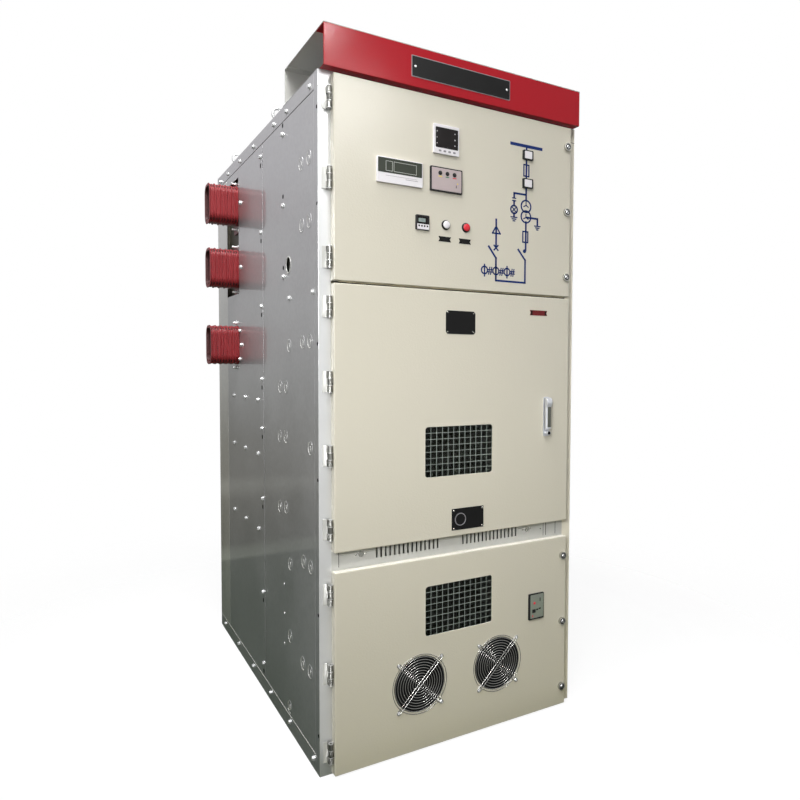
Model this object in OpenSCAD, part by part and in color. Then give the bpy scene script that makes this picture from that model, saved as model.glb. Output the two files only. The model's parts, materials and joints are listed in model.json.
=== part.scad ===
// Indoor switchgear cabinet: a sheet-metal carcass with three hinged front doors,
// a red lintel with a wiring trough behind it, and three ribbed busbar bushings on the left side.
// X runs to the right, the doors face -Y, and Z = 0 is the underside of the base frame.

/* [Body] */
// Width of the carcass
body_w = 1000; // [850:10:1200]
// Depth of the carcass
body_d = 1500; // [1400:10:1800]
// Height of the carcass
body_h = 2200; // [2120:10:2400]
// Thickness of the side, door and roof sheets
sheet = 2; // [1.5:0.5:3]

/* [Frame] */
// Thickness of the rails' folded sheet
rail_t = 3; // [2:0.5:4]
// Height of the base rail
base_rail_h = 55; // [40:1:70]
// Depth of the base rail's flanges
base_flange = 50; // [44:1:70]
// Height of the top rail
top_rail_h = 50; // [40:1:70]
// Depth of the top rail's flanges
top_flange = 60; // [52:1:80]
// Width of a corner post, seen from the front
post_w = 40; // [36:1:43]
// Depth of a corner post, seen from the side
post_d = 38; // [30:1:42]
// Diameter of the foundation bolt holes
anchor_d = 18; // [12:1:22]
// Distance from the foundation bolt holes to the carcass front and rear
anchor_inset = 150; // [100:5:300]
// Gap between the side sheets and the top rail
sheet_gap = 3; // [2:0.5:5]

/* [Compartments] */
// Depth from the front to the partition behind the breaker compartment
breaker_depth = 650; // [560:5:720]
// Depth from the front to the back plate of the instrument compartment
instrument_depth = 373; // [340:1:420]
// Height of the cross rail between the top and middle doors
cross_rail_h = 32; // [24:1:40]
// How far the vent strip reaches behind the doors above and below it
vent_lap = 6; // [4:1:10]

/* [Doors] */
// Depth of a folded door pan
door_t = 25; // [20:1:30]
// Gap between the doors and the carcass behind them
door_gap = 5; // [5:0.5:8]
// Width of the lip folded in behind the door's edge
door_lip = 15; // [10:1:20]
// Height of the low door's edge over the floor
low_door_z = 5; // [5:1:12]
// Height of the low door
low_door_h = 651; // [640:1:660]
// Height of the vent strip that shows between the doors
vent_h = 62; // [56:1:80]
// Height of the top door
top_door_h = 625; // [600:1:660]
// Gap between the middle and top doors
door_split = 8; // [6:1:12]
// Distance from the top door's edge to the carcass top
top_door_drop = 10; // [6:1:20]

/* [Hinges and locks] */
// Diameter of a hinge knuckle
knuckle_d = 14; // [12:0.5:16]
// Diameter of the hinge pin
hinge_pin_d = 8; // [6:0.5:9]
// Height of a whole hinge
hinge_h = 66; // [50:1:80]
// Width of a hinge's leaf on the post, from the pin
leaf_w = 19; // [16:1:29]
// Thickness of a hinge's leaves
leaf_t = 3; // [2:0.5:4]
// Gap between the knuckles of a hinge
knuckle_gap = 0.5; // [0.3:0.1:1]
// Distance from a door's end to its outer hinge or lock
hinge_inset = 72; // [60:1:90]
// Clearance round a turning pin, on the radius
pin_clear = 0.05; // [0.02:0.01:0.1]
// Diameter of a door lock's head
lock_d = 29; // [24:1:32]
// Height of a door lock's head
lock_t = 9; // [6:0.5:12]
// Diameter of a door lock's key recess
lock_key_d = 15; // [10:0.5:18]
// Distance from the locks to the door's free edge
lock_inset = 20; // [18:1:30]

/* [Lintel and trough] */
// Length of the lintel
lintel_w = 986; // [840:2:1000]
// Height of the lintel
lintel_h = 126; // [100:1:160]
// How far the lintel stands out from the carcass
lintel_out = 36; // [32:1:50]
// How far the lintel's lips reach in over the carcass
lintel_lap = 35; // [20:1:60]
// Depth of the wiring trough from the carcass front
trough_d = 370; // [300:5:400]
// Width of the rear wall's flange under the trough's ceiling
trough_flange = 35; // [20:1:50]

/* [Busbar side] */
// Distance from the bushings' axis to the rear
bushing_rear = 382; // [340:1:420]
// Drops of the three bushing axes from the carcass top
bushing_drop_upper = 205; // [198:1:222]
bushing_drop_middle = 480; // [470:1:490]
bushing_drop_lower = 814; // [770:1:860]
// Width of a bushing over its ribs
bushing_w = 115; // [100:1:130]
// Height of a bushing over its ribs
bushing_h = 170; // [140:1:180]
// Corner radius of a bushing over its ribs
bushing_r = 34; // [25:1:45]
// How far a bushing stands out from the side
bushing_out = 118; // [90:1:150]
// Wall of a bushing under its ribs
bushing_wall = 9; // [6:0.5:14]
// Height of a rib over the bushing's wall
rib_h = 5; // [3:0.5:8]
// Thickness of a rib
rib_t = 4; // [3:0.5:5]
// Number of ribs on a bushing
rib_count = 11; // [6:1:12]
// Width, thickness and corner radius of a bushing's mounting flange
flange_lap = 26; // [18:1:34]
flange_t = 8; // [5:0.5:10]
flange_r = 8; // [4:1:14]
// Depth of the recess behind the busbar opening
recess_d = 18; // [14:1:30]
// Length of the busbar opening behind the bushings' front edge
busbar_opening_d = 236; // [200:1:260]
// Drops of the busbar opening's upper and lower edges from the carcass top
opening_drop_upper = 88; // [84:1:120]
opening_drop_lower = 590; // [585:1:610]
// Diameter of the cable hole in the left front sheet
cable_hole_d = 52; // [30:1:70]

/* [Roof] */
// Gap between the relief flaps
flap_split = 6; // [4:1:12]
// How far a flap rests on the top rail
flap_lap = 15; // [8:1:20]
// Middle radius of a lifting eye's ring
eye_r = 20; // [16:1:26]
// Diameter of the bar of a lifting eye's ring
eye_bar = 11; // [8:0.5:14]
// Diameter and height of a lifting eye's collar
eye_collar_d = 30; // [24:1:32]
eye_collar_h = 8; // [6:1:12]
// Distance from an eye to the carcass side
eye_margin = 3; // [2:0.5:4]
// Distances of the lifting eyes from the middle, front and rear
eye_front_y = -218; // [-260:2:-180]
eye_rear_y = 447; // [400:1:520]

/* [Top door fittings] */
// Width and height of the panel meter
meter_s = 96; // [90:1:100]
// Width and height of the relay
relay_w = 160; // [140:1:170]
relay_h = 80; // [70:1:90]
// Width and height of the voltage indicator
indicator_w = 120; // [100:1:130]
indicator_h = 80; // [70:1:90]
// Width and height of the temperature controller
controller_s = 48; // [44:1:52]
// Diameter of a push button's ring
button_d = 33; // [28:1:36]
// Diameter of a push button's cap
button_cap_d = 24; // [18:1:26]
// Width and height of a position indicator
position_w = 43; // [38:1:46]
position_h = 34; // [30:1:38]
// How far a bezel stands out from the door
bezel_t = 8; // [5:0.5:12]
// Corner radius of a bezel
bezel_r = 3; // [1:0.5:5]
// Depth of the recess in an instrument's face
face_deep = 1.5; // [0.5:0.5:3]
// How much narrower an instrument's case is than its bezel
case_step = 5; // [3:0.5:8]
// Clearance of a case in its cut-out
cutout_clear = 0.5; // [0.2:0.1:1]

/* [Windows and fans] */
// Width and height of a door window
window_w = 265; // [220:1:290]
window_h = 170; // [140:1:190]
// Corner radius of a window
window_r = 10; // [6:1:20]
// How far the mesh and the glass reach past the window's edge
window_lap = 14; // [10:1:24]
// Wires of the window mesh across and up
mesh_across = 12; // [8:1:16]
mesh_up = 8; // [5:1:12]
// Thickness of a mesh wire
wire = 2.5; // [1.5:0.5:4]
// Thickness of the window glass
glass_t = 4; // [3:1:6]
// Diameter of a fan opening
fan_d = 190; // [170:1:200]
// Distance between the fans' axes
fan_span = 311; // [290:1:340]
// Number of rings on a fan guard
ring_count = 11; // [8:1:12]
// How far a guard's outer ring lies past the fan opening
guard_lap = 6; // [4:1:8]
// Thickness of the guard's wire
guard_wire = 3; // [2.5:0.5:4]
// Distance between the two wires of a guard's spoke
spoke_gap = 11; // [9:1:14]
// Distance between a guard's screws along each side of their square
guard_screws = 160; // [150:1:170]
// Width and depth of a fan housing
fan_case = 206; // [204:1:220]
fan_case_d = 70; // [50:1:90]
// Diameter of a fan's motor
fan_motor_d = 88; // [60:1:110]
// Width of the arms that carry a fan's motor
fan_arm_w = 12; // [8:1:20]
// Thickness of the filter in front of a fan
filter_t = 2; // [1:0.5:4]

/* [Middle and low door fittings] */
// Width, height and thickness of the handle's base
handle_w = 26; // [24:1:34]
handle_h = 146; // [140:1:160]
handle_base_t = 4; // [3:0.5:8]
// Distance from the handle's spindle to the top of its base
spindle_drop = 20; // [18:1:26]
// Diameter of the handle's spindle
spindle_d = 10; // [8:1:12]
// Gap between the lever and its base
lever_gap = 5; // [5:0.5:8]
// Length of the lever below the spindle
lever_l = 98; // [80:1:100]
// Width, thickness and edge chamfer of the lever's bar
lever_w = 22; // [18:1:24]
lever_t = 12; // [11:1:16]
lever_chamfer = 3; // [1:0.5:5]
// Height and thickness of the pivot block at the lever's top
pivot_h = 34; // [28:1:36]
pivot_t = 17; // [16:1:22]
// Diameter of the key lock under the lever, and its distance from the base's lower end
key_lock_d = 16; // [12:1:18]
key_lock_inset = 13; // [10:1:16]
// Width and height of the crank cover's plate
crank_w = 128; // [110:1:140]
crank_h = 75; // [60:1:80]
// Diameter of the crank cover's round plug
crank_plug_d = 44; // [36:1:52]
// Width and height of the control module
module_w = 68; // [60:1:74]
module_h = 97; // [90:1:110]

/* [Hidden] */
$fn = 48;

// Overshoot of a cut past the face that it opens
cut = 1;
// Faces of the carcass
left = -body_w / 2;
right = body_w / 2;
front = -body_d / 2;
rear = body_d / 2;
// Planes of the rails, posts and sheets
post_front_in = front + post_d;
post_rear_in = rear - post_d;
top_rail_z = body_h - top_rail_h;
roof_top = body_h + sheet;
seam_y = front + breaker_depth;
instrument_back_y = front + instrument_depth;
// Planes and places of the doors
door_back = front - door_gap;
door_front = door_back - door_t;
door_left = left + post_w;
door_right = right - post_w;
middle_door_z = low_door_z + low_door_h + vent_h;
top_edge = body_h - top_door_drop;
top_door_z = top_edge - top_door_h;
middle_door_h = top_door_z - door_split - middle_door_z;
vent_z0 = low_door_z + low_door_h - vent_lap;
vent_z1 = middle_door_z + vent_lap;
cross_rail_z0 = top_door_z - door_split / 2 - cross_rail_h / 2;
cross_rail_z1 = cross_rail_z0 + cross_rail_h;
// Place of the hinge pins, a little clear of the door's edge
knuckle_stand = 2;
hinge_x = door_left - knuckle_d / 2 - knuckle_stand;
hinge_y = front - door_gap - door_t / 2;
// Hinges of each door: height of the door's lower edge, its height and its number of hinges
top_hinges = [top_door_z, top_door_h, 3];
middle_hinges = [middle_door_z, middle_door_h, 4];
low_hinges = [low_door_z, low_door_h, 3];
// Places of the bushings and the busbar opening
bushing_y = rear - bushing_rear;
bushing_z_upper = body_h - bushing_drop_upper;
bushing_z_middle = body_h - bushing_drop_middle;
bushing_z_lower = body_h - bushing_drop_lower;
opening_clear = 1;
opening_y0 = bushing_y - bushing_w / 2 - opening_clear;
opening_y1 = opening_y0 + busbar_opening_d;
opening_z0 = body_h - opening_drop_lower;
opening_z1 = body_h - opening_drop_upper;
recess_x = left + sheet + recess_d;
recess_land = 6;
recess_lap = flange_lap + recess_land;
// Middles of the top door's fittings, right from the door's middle and down from its top edge
meter_at = [-74, 138];
relay_at = [-242, 268];
indicator_at = [-73, 269];
controller_at = [-161, 418];
white_button_at = [-72, 416];
red_button_at = [6, 416];
// Middle of the position indicators, in from the door's right edge
position_inset = 200;
position_x = door_right - position_inset;
position_drops = [132, 232];
// Middle of the handle, in from the door's right edge and down from its mid-height
handle_inset = 105;
handle_drop = 19.5;
// Middles of the other doors' fittings, right from the door's middle and up from its lower edge
middle_window_at = [-13, 296];
low_window_at = [-10, 469];
crank_at = [20, 58];
crank_plug_x = -32;
module_inset = 143;
module_at = [door_right - module_inset, 406];
fan_at = [-7, 227];
fan_xs = [fan_at[0] - fan_span / 2, fan_at[0] + fan_span / 2];
fan_z = low_door_z + fan_at[1];
vent_groups = [-194, 132];
vent_slot_count = 15;
vent_slot_pitch = 16.1;
vent_slot_w = 6.2;
vent_slot_h = 38;
vent_slot_up = 8;
vent_slot_z = (vent_z0 + vent_z1) / 2 + vent_slot_up;
// Middle of the cable hole, back from the front and down from the carcass top
cable_hole_at = [315, 553];

// Shapes that repeat

// Box between two corners
module box(a, b) {
    translate(a) cube(b - a);
}

// Rectangle with round corners, centred
module rounded(w, h, r) {
    square([w - 2 * r, h], center = true);
    square([w, h - 2 * r], center = true);
    for (x = [-1, 1], y = [-1, 1]) translate([x * (w / 2 - r), y * (h / 2 - r)]) circle(r);
}

// Strip with round ends, centred
module round_ended(l, w) {
    square([l - w, w], center = true);
    for (m = [-1, 1]) translate([m * (l - w) / 2, 0]) circle(d = w);
}

// Stands a flat outline up on the plane at y, facing the front, and thickens it towards the front
module facing(x, z, y, t) {
    translate([x, y, z]) rotate([90, 0, 0]) linear_extrude(t) children();
}

// Lays a flat outline on the left side's plane at x, with its width along Y, thickened to the left
module sideways(x, y, z, t) {
    translate([x, y, z]) rotate([90, 0, -90]) linear_extrude(t) children();
}

// Ring of C-channel with its open side in and its corners notched for the posts
module rail_ring(z0, h, flange) {
    difference() {
        box([left, front, z0], [right, rear, z0 + h]);
        box([left + flange, front + flange, z0 - cut], [right - flange, rear - flange, z0 + h + cut]);
        box([left + rail_t, front + rail_t, z0 + rail_t], [right - rail_t, rear - rail_t, z0 + h - rail_t]);
        for (x = [left - cut, right - post_w], y = [front - cut, rear - post_d])
            translate([x, y, z0 - cut]) cube([post_w + cut, post_d + cut, h + 2 * cut]);
    }
}

// Corner post of folded sheet, open at the back; m is 1 at the left and -1 at the right
module post(x, m) {
    translate([x, 0, 0]) difference() {
        box([m > 0 ? 0 : -post_w, front, 0], [m > 0 ? post_w : 0, front + post_d, body_h]);
        box([m > 0 ? sheet : sheet - post_w, front + sheet, -cut],
            [m > 0 ? post_w - sheet : -sheet, front + post_d + cut, body_h + cut]);
    }
}

// Rail of C-channel between the posts, open at the back
module cross_rail(z0, z1) {
    difference() {
        box([door_left, front, z0], [door_right, post_front_in, z1]);
        box([door_left - cut, front + sheet, z0 + sheet], [door_right + cut, post_front_in + cut, z1 - sheet]);
    }
}

// Flat side sheet against the left or right side
module side_sheet(x, y0, y1) {
    box([x, y0, base_rail_h], [x + sheet, y1, top_rail_z - sheet_gap]);
}

// Door folded from one sheet, with lips behind its edges
module door_pan(z0, h) {
    difference() {
        box([door_left, door_front, z0], [door_right, door_back, z0 + h]);
        box([door_left + sheet, door_front + sheet, z0 + sheet],
            [door_right - sheet, door_back - sheet, z0 + h - sheet]);
        box([door_left + door_lip, door_back - sheet - cut, z0 + door_lip],
            [door_right - door_lip, door_back + cut, z0 + h - door_lip]);
    }
}

// Middle height of hinge number i of a door
function hinge_z(d, i) = d[0] + hinge_inset + i * (d[1] - 2 * hinge_inset) / (d[2] - 1);
// Height of one of a hinge's three knuckles
knuckle_h = (hinge_h - 2 * knuckle_gap) / 3;

// Carcass half of a hinge: leaf, outer knuckles on its folded edge, and pin
module frame_hinge(z) {
    edge_x = hinge_x - knuckle_d / 2;
    translate([hinge_x, hinge_y, z]) {
        cylinder(d = hinge_pin_d, h = hinge_h, center = true);
        for (m = [-1, 1]) translate([0, 0, m * (knuckle_h + knuckle_gap)]) {
            cylinder(d = knuckle_d, h = knuckle_h, center = true);
            translate([-knuckle_d / 2, 0, -knuckle_h / 2]) cube([leaf_t, front - hinge_y, knuckle_h]);
        }
    }
    box([hinge_x - leaf_w, front - leaf_t, z - hinge_h / 2], [edge_x + leaf_t, front, z + hinge_h / 2]);
}

// Door half of a hinge: middle knuckle and the leaf on the door's edge
module door_hinge(z) {
    difference() {
        translate([hinge_x, hinge_y, z]) {
            cylinder(d = knuckle_d, h = knuckle_h, center = true);
            translate([0, -leaf_t, -knuckle_h / 2]) cube([door_left - hinge_x, 2 * leaf_t, knuckle_h]);
        }
        translate([hinge_x, hinge_y, z]) cylinder(r = hinge_pin_d / 2 + pin_clear, h = hinge_h, center = true);
    }
}

module door_hinges(d) {
    for (i = [0 : d[2] - 1]) door_hinge(hinge_z(d, i));
}

// Captive lock: a round head with a key recess, its shank through the door's sheet
module door_lock(z) {
    translate([door_right - lock_inset, door_front, z]) rotate([90, 0, 0]) difference() {
        union() {
            cylinder(d = lock_d, h = lock_t);
            translate([0, 0, -door_t + sheet]) cylinder(d = lock_key_d, h = door_t);
        }
        translate([0, 0, lock_t / 3]) cylinder(d = lock_key_d, h = lock_t);
        translate([0, 0, -cut]) cylinder(d = lock_key_d / 2, h = lock_t, $fn = 3);
    }
}

module lock_hole(z) {
    facing(door_right - lock_inset, z, door_front + sheet + cut, sheet + 2 * cut)
        circle(d = lock_key_d + 2 * cutout_clear);
}

// Panel instrument: a bezel on the door's face with its case through the cut-out
module instrument(at, w, h, depth) {
    facing(at[0], top_edge - at[1], door_front, bezel_t) rounded(w, h, bezel_r);
    facing(at[0], top_edge - at[1], door_front + depth, depth)
        square([w - 2 * case_step, h - 2 * case_step], center = true);
}

module instrument_cutout(at, w, h) {
    facing(at[0], top_edge - at[1], door_front + sheet + cut, sheet + 2 * cut)
        square([w - 2 * case_step + 2 * cutout_clear, h - 2 * case_step + 2 * cutout_clear], center = true);
}

// Shallow recess in an instrument's face, offset from its middle
module face_recess(at, w, h, dx, dz) {
    facing(at[0] + dx, top_edge - at[1] + dz, door_front - bezel_t + face_deep, face_deep + cut)
        square([w, h], center = true);
}

// Push button: ring and cap on the door's face, contact block behind
button_block_d = 22;
button_block_l = 45;
module push_button(at) {
    translate([at[0], door_front, top_edge - at[1]]) rotate([90, 0, 0]) {
        cylinder(d = button_d, h = bezel_t / 2);
        cylinder(d = button_cap_d, h = bezel_t);
        translate([0, 0, -button_block_l]) cylinder(d = button_block_d, h = button_block_l);
    }
}

module button_hole(at) {
    facing(at[0], top_edge - at[1], door_front + sheet + cut, sheet + 2 * cut)
        circle(d = button_block_d + 2 * cutout_clear);
}

module window_hole(at, z0) {
    facing(at[0], z0 + at[1], door_front + sheet + cut, sheet + 2 * cut) rounded(window_w, window_h, window_r);
}

// Welded mesh with a flat border, behind a window's sheet
module window_mesh(at, z0) {
    w = window_w + 2 * window_lap;
    h = window_h + 2 * window_lap;
    facing(at[0], z0 + at[1], door_front + sheet + wire, wire) {
        difference() {
            square([w, h], center = true);
            square([window_w, window_h], center = true);
        }
        for (i = [1 : mesh_across])
            translate([window_w * (i / (mesh_across + 1) - 0.5), 0])
                square([wire, window_h + wire], center = true);
        for (i = [1 : mesh_up])
            translate([0, window_h * (i / (mesh_up + 1) - 0.5)])
                square([window_w + wire, wire], center = true);
    }
}

module window_glass(at, z0) {
    facing(at[0], z0 + at[1], door_front + sheet + wire + glass_t, glass_t)
        square([window_w + 2 * window_lap, window_h + 2 * window_lap], center = true);
}

// Bushing: a hollow ribbed sleeve of rounded section with a flange on its seat
bushing_in = 30;
module bushing(z, seat_x) {
    core_w = bushing_w - 2 * rib_h;
    core_h = bushing_h - 2 * rib_h;
    core_r = bushing_r - rib_h;
    pitch = (bushing_out - rib_t) / (rib_count - 1);
    difference() {
        union() {
            sideways(left + bushing_in, bushing_y, z, bushing_in + bushing_out)
                rounded(core_w, core_h, core_r);
            for (i = [0 : rib_count - 1])
                sideways(left - bushing_out + rib_t + i * pitch, bushing_y, z, rib_t)
                    rounded(bushing_w, bushing_h, bushing_r);
            sideways(seat_x + flange_t, bushing_y, z, flange_t)
                rounded(bushing_w + 2 * flange_lap, bushing_h + 2 * flange_lap, flange_r);
        }
        sideways(left + bushing_in + cut, bushing_y, z, bushing_in + bushing_out + 2 * cut)
            rounded(core_w - 2 * bushing_wall, core_h - 2 * bushing_wall, core_r - bushing_wall);
    }
}

// Hole that a bushing's sleeve passes through
module bushing_hole(z, x) {
    sideways(x + sheet + cut, bushing_y, z, sheet + 2 * cut)
        rounded(bushing_w + 2 * cutout_clear, bushing_h + 2 * cutout_clear, bushing_r + cutout_clear);
}

// Lifting eye: a ring on a collar
module lifting_eye(x, y) {
    translate([x, y, body_h]) {
        cylinder(d = eye_collar_d, h = eye_collar_h);
        translate([0, 0, eye_collar_h + eye_r]) rotate([90, 0, 0])
            rotate_extrude() translate([eye_r, 0]) circle(d = eye_bar);
    }
}

// Fan guard: rings of wire under two long loops, whose ends go round the screws
module fan_guard(x, z) {
    ring_pitch = (fan_d / 2 + guard_lap) / ring_count;
    loop_l = guard_screws * sqrt(2) + spoke_gap;
    loop_rise = guard_wire * 0.9;
    translate([x, door_front, z]) rotate([90, 0, 0]) {
        for (i = [1 : ring_count]) difference() {
            cylinder(r = i * ring_pitch + guard_wire / 2, h = guard_wire);
            translate([0, 0, -cut]) cylinder(r = i * ring_pitch - guard_wire / 2, h = guard_wire + 2 * cut);
        }
        for (a = [45, 135]) rotate(a) translate([0, 0, loop_rise]) linear_extrude(guard_wire) difference() {
            round_ended(loop_l + guard_wire, spoke_gap + guard_wire);
            round_ended(loop_l - guard_wire, spoke_gap - guard_wire);
        }
    }
}

// Fan housing: square case with a round duct open at the back, its front face a filter, motor on four arms
module fan_housing(x, z) {
    translate([x, door_front + sheet, z]) rotate([-90, 0, 0]) {
        difference() {
            translate([-fan_case / 2, -fan_case / 2, 0]) cube([fan_case, fan_case, fan_case_d]);
            translate([0, 0, filter_t]) cylinder(d = fan_d, h = fan_case_d);
        }
        translate([0, 0, fan_case_d / 3]) cylinder(d = fan_motor_d, h = fan_case_d * 2 / 3);
        for (a = [0, 90]) rotate(a) translate([-fan_d / 2 - cut, -fan_arm_w / 2, fan_case_d - fan_arm_w])
            cube([fan_d + 2 * cut, fan_arm_w, fan_arm_w / 2]);
    }
}

// Carcass

module base_frame() {
    color("silver") difference() {
        rail_ring(0, base_rail_h, base_flange);
        for (x = [left + base_flange / 2, right - base_flange / 2],
             y = [front + anchor_inset, rear - anchor_inset])
            translate([x, y, -cut]) cylinder(d = anchor_d, h = rail_t + 2 * cut);
    }
}

module floor_plate() {
    color("silver")
        box([left + base_flange, front + base_flange, 0], [right - base_flange, rear - base_flange, rail_t]);
}

module front_posts() {
    color("gainsboro") {
        post(left, 1);
        post(right, -1);
    }
}

module rear_posts() {
    color("gainsboro") mirror([0, 1, 0]) {
        post(left, 1);
        post(right, -1);
    }
}

module top_frame() {
    color("silver") rail_ring(top_rail_z, top_rail_h, top_flange);
}

module left_front_sheet() {
    color("darkgray") difference() {
        side_sheet(left, post_front_in, seam_y);
        translate([left - cut, front + cable_hole_at[0], body_h - cable_hole_at[1]]) rotate([0, 90, 0])
            cylinder(d = cable_hole_d, h = sheet + 2 * cut);
    }
}

module left_rear_sheet() {
    color("darkgray") difference() {
        side_sheet(left, seam_y, post_rear_in);
        box([left - cut, opening_y0, opening_z0], [left + sheet + cut, opening_y1, opening_z1]);
        bushing_hole(bushing_z_lower, left);
    }
}

module right_front_sheet() {
    color("darkgray") side_sheet(right - sheet, post_front_in, seam_y);
}

module right_rear_sheet() {
    color("darkgray") side_sheet(right - sheet, seam_y, post_rear_in);
}

// Rear covers lie on the posts and rails and meet at the height of the breaker compartment's roof
cover_split_z = cross_rail_z0;
cover_inset = 8;
cover_gap = 3;
module rear_upper_cover() {
    color("beige") box([left + cover_inset, rear, cover_split_z + cover_gap / 2],
                       [right - cover_inset, rear + sheet, body_h - cover_inset]);
}

module rear_lower_cover() {
    color("beige") box([left + cover_inset, rear, cover_inset],
                       [right - cover_inset, rear + sheet, cover_split_z - cover_gap / 2]);
}

module roof_front_plate() {
    color("silver") box([left, front, body_h], [right, front + trough_d, roof_top]);
}

// Three flaps over the breaker, busbar and cable compartments
module relief_flaps() {
    x = right - top_flange + flap_lap;
    y0 = front + trough_d + flap_split;
    y1 = rear - top_flange + flap_lap;
    step = (y1 - y0 + flap_split) / 3;
    color("silver") for (i = [0 : 2])
        box([-x, y0 + i * step, body_h], [x, y0 + (i + 1) * step - flap_split, roof_top]);
}

module lifting_eyes() {
    x = right - eye_r - eye_bar / 2 - eye_margin;
    color("gainsboro") for (m = [-1, 1], y = [eye_front_y, eye_rear_y]) lifting_eye(m * x, y);
}

module rear_partition() {
    color("silver") box([left + sheet, seam_y, base_rail_h], [right - sheet, seam_y + sheet, top_rail_z]);
}

module instrument_back_plate() {
    color("silver") box([left + sheet, instrument_back_y, cross_rail_z1],
                        [right - sheet, instrument_back_y + sheet, top_rail_z]);
}

module instrument_floor() {
    color("silver") {
        cross_rail(cross_rail_z0, cross_rail_z1);
        box([left + sheet, post_front_in, cross_rail_z1 - sheet],
            [right - sheet, instrument_back_y + sheet, cross_rail_z1]);
    }
}

module breaker_floor() {
    color("silver") box([left + sheet, post_front_in, vent_z1 - sheet], [right - sheet, seam_y, vent_z1]);
}

module vent_strip() {
    color("gainsboro") difference() {
        cross_rail(vent_z0, vent_z1);
        for (x = vent_groups, i = [0 : vent_slot_count - 1])
            facing(x + (i - (vent_slot_count - 1) / 2) * vent_slot_pitch, vent_slot_z,
                   front + sheet + cut, sheet + 2 * cut)
                square([vent_slot_w, vent_slot_h], center = true);
    }
}

module lintel() {
    x = lintel_w / 2;
    y = front - lintel_out;
    z0 = roof_top;
    color("firebrick") difference() {
        box([-x, y, z0], [x, front + lintel_lap, z0 + lintel_h]);
        box([-x - cut, y + sheet, z0 + sheet], [x + cut, front + lintel_lap + cut, z0 + lintel_h - sheet]);
    }
}

module wiring_trough() {
    x = lintel_w / 2;
    z = roof_top + lintel_h;
    y = front + trough_d;
    color("darkgray") {
        box([-x, front - lintel_out, z], [x, y, z + sheet]);
        box([-x, y - sheet, roof_top], [x, y, z + sheet]);
        box([-x, y - trough_flange, z - sheet], [x, y, z]);
    }
}

// Pan behind the busbar opening, its back wall the seat of the upper and middle bushings
module bushing_recess() {
    y0 = bushing_y - bushing_w / 2 - recess_lap;
    y1 = opening_y1 + recess_lap;
    z0 = opening_z0 - recess_lap;
    z1 = opening_z1 + recess_lap;
    color("dimgray") difference() {
        box([left + sheet, y0, z0], [recess_x + sheet, y1, z1]);
        box([left + sheet - cut, y0 + sheet, z0 + sheet], [recess_x, y1 - sheet, z1 - sheet]);
        bushing_hole(bushing_z_upper, recess_x);
        bushing_hole(bushing_z_middle, recess_x);
    }
}

module upper_bushing() {
    color("firebrick") bushing(bushing_z_upper, recess_x - flange_t);
}

module middle_bushing() {
    color("firebrick") bushing(bushing_z_middle, recess_x - flange_t);
}

module lower_bushing() {
    color("firebrick") bushing(bushing_z_lower, left + sheet);
}

module frame_hinges() {
    color("whitesmoke") for (d = [top_hinges, middle_hinges, low_hinges], i = [0 : d[2] - 1])
        frame_hinge(hinge_z(d, i));
}

// Top door

module top_door() {
    color("beige") difference() {
        door_pan(top_door_z, top_door_h);
        instrument_cutout(meter_at, meter_s, meter_s);
        instrument_cutout(relay_at, relay_w, relay_h);
        instrument_cutout(indicator_at, indicator_w, indicator_h);
        instrument_cutout(controller_at, controller_s, controller_s);
        button_hole(white_button_at);
        button_hole(red_button_at);
        for (drop = position_drops) instrument_cutout([position_x, drop], position_w, position_h);
        for (i = [0 : 2]) lock_hole(hinge_z(top_hinges, i));
    }
}

module top_door_hinges() {
    color("whitesmoke") door_hinges(top_hinges);
}

module top_door_locks() {
    color("whitesmoke") for (i = [0 : 2]) door_lock(hinge_z(top_hinges, i));
}

meter_depth = 60;
meter_screen = [80, 65];
meter_screen_at = [2, 4];
module panel_meter() {
    color("whitesmoke") difference() {
        instrument(meter_at, meter_s, meter_s, meter_depth);
        face_recess(meter_at, meter_screen[0], meter_screen[1], meter_screen_at[0], meter_screen_at[1]);
    }
}

relay_depth = 120;
relay_display_h = 44;
relay_display_up = 14;
module relay() {
    color("whitesmoke") difference() {
        instrument(relay_at, relay_w, relay_h, relay_depth);
        face_recess(relay_at, relay_w - 2 * case_step, relay_display_h, 0, relay_display_up);
    }
}

indicator_depth = 60;
module voltage_indicator() {
    color("dimgray") difference() {
        instrument(indicator_at, indicator_w, indicator_h, indicator_depth);
        face_recess(indicator_at, indicator_w - 2 * case_step, indicator_h - 2 * case_step, 0, 0);
    }
}

controller_depth = 80;
controller_screen = [38, 24];
controller_screen_up = 7;
module temperature_controller() {
    color("dimgray") difference() {
        instrument(controller_at, controller_s, controller_s, controller_depth);
        face_recess(controller_at, controller_screen[0], controller_screen[1], 0, controller_screen_up);
    }
}

module white_button() {
    color("white") push_button(white_button_at);
}

module red_button() {
    color("red") push_button(red_button_at);
}

position_depth = 40;
module position_indicators() {
    color("black") for (drop = position_drops) difference() {
        instrument([position_x, drop], position_w, position_h, position_depth);
        face_recess([position_x, drop], position_w - 2 * case_step, position_h - 2 * case_step, 0, 0);
    }
}

// Middle door

module middle_door() {
    color("beige") difference() {
        door_pan(middle_door_z, middle_door_h);
        window_hole(middle_window_at, middle_door_z);
    }
}

module middle_door_hinges() {
    color("whitesmoke") door_hinges(middle_hinges);
}

module middle_window_mesh() {
    color("gray") window_mesh(middle_window_at, middle_door_z);
}

module middle_window_glass() {
    color("lightblue") window_glass(middle_window_at, middle_door_z);
}

crank_plate_t = 2;
crank_plug_t = 6;
module crank_cover() {
    z = middle_door_z + crank_at[1];
    color("black") {
        facing(crank_at[0], z, door_front, crank_plate_t) square([crank_w, crank_h], center = true);
        facing(crank_at[0] + crank_plug_x, z, door_front, crank_plug_t) circle(d = crank_plug_d);
    }
}

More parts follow.
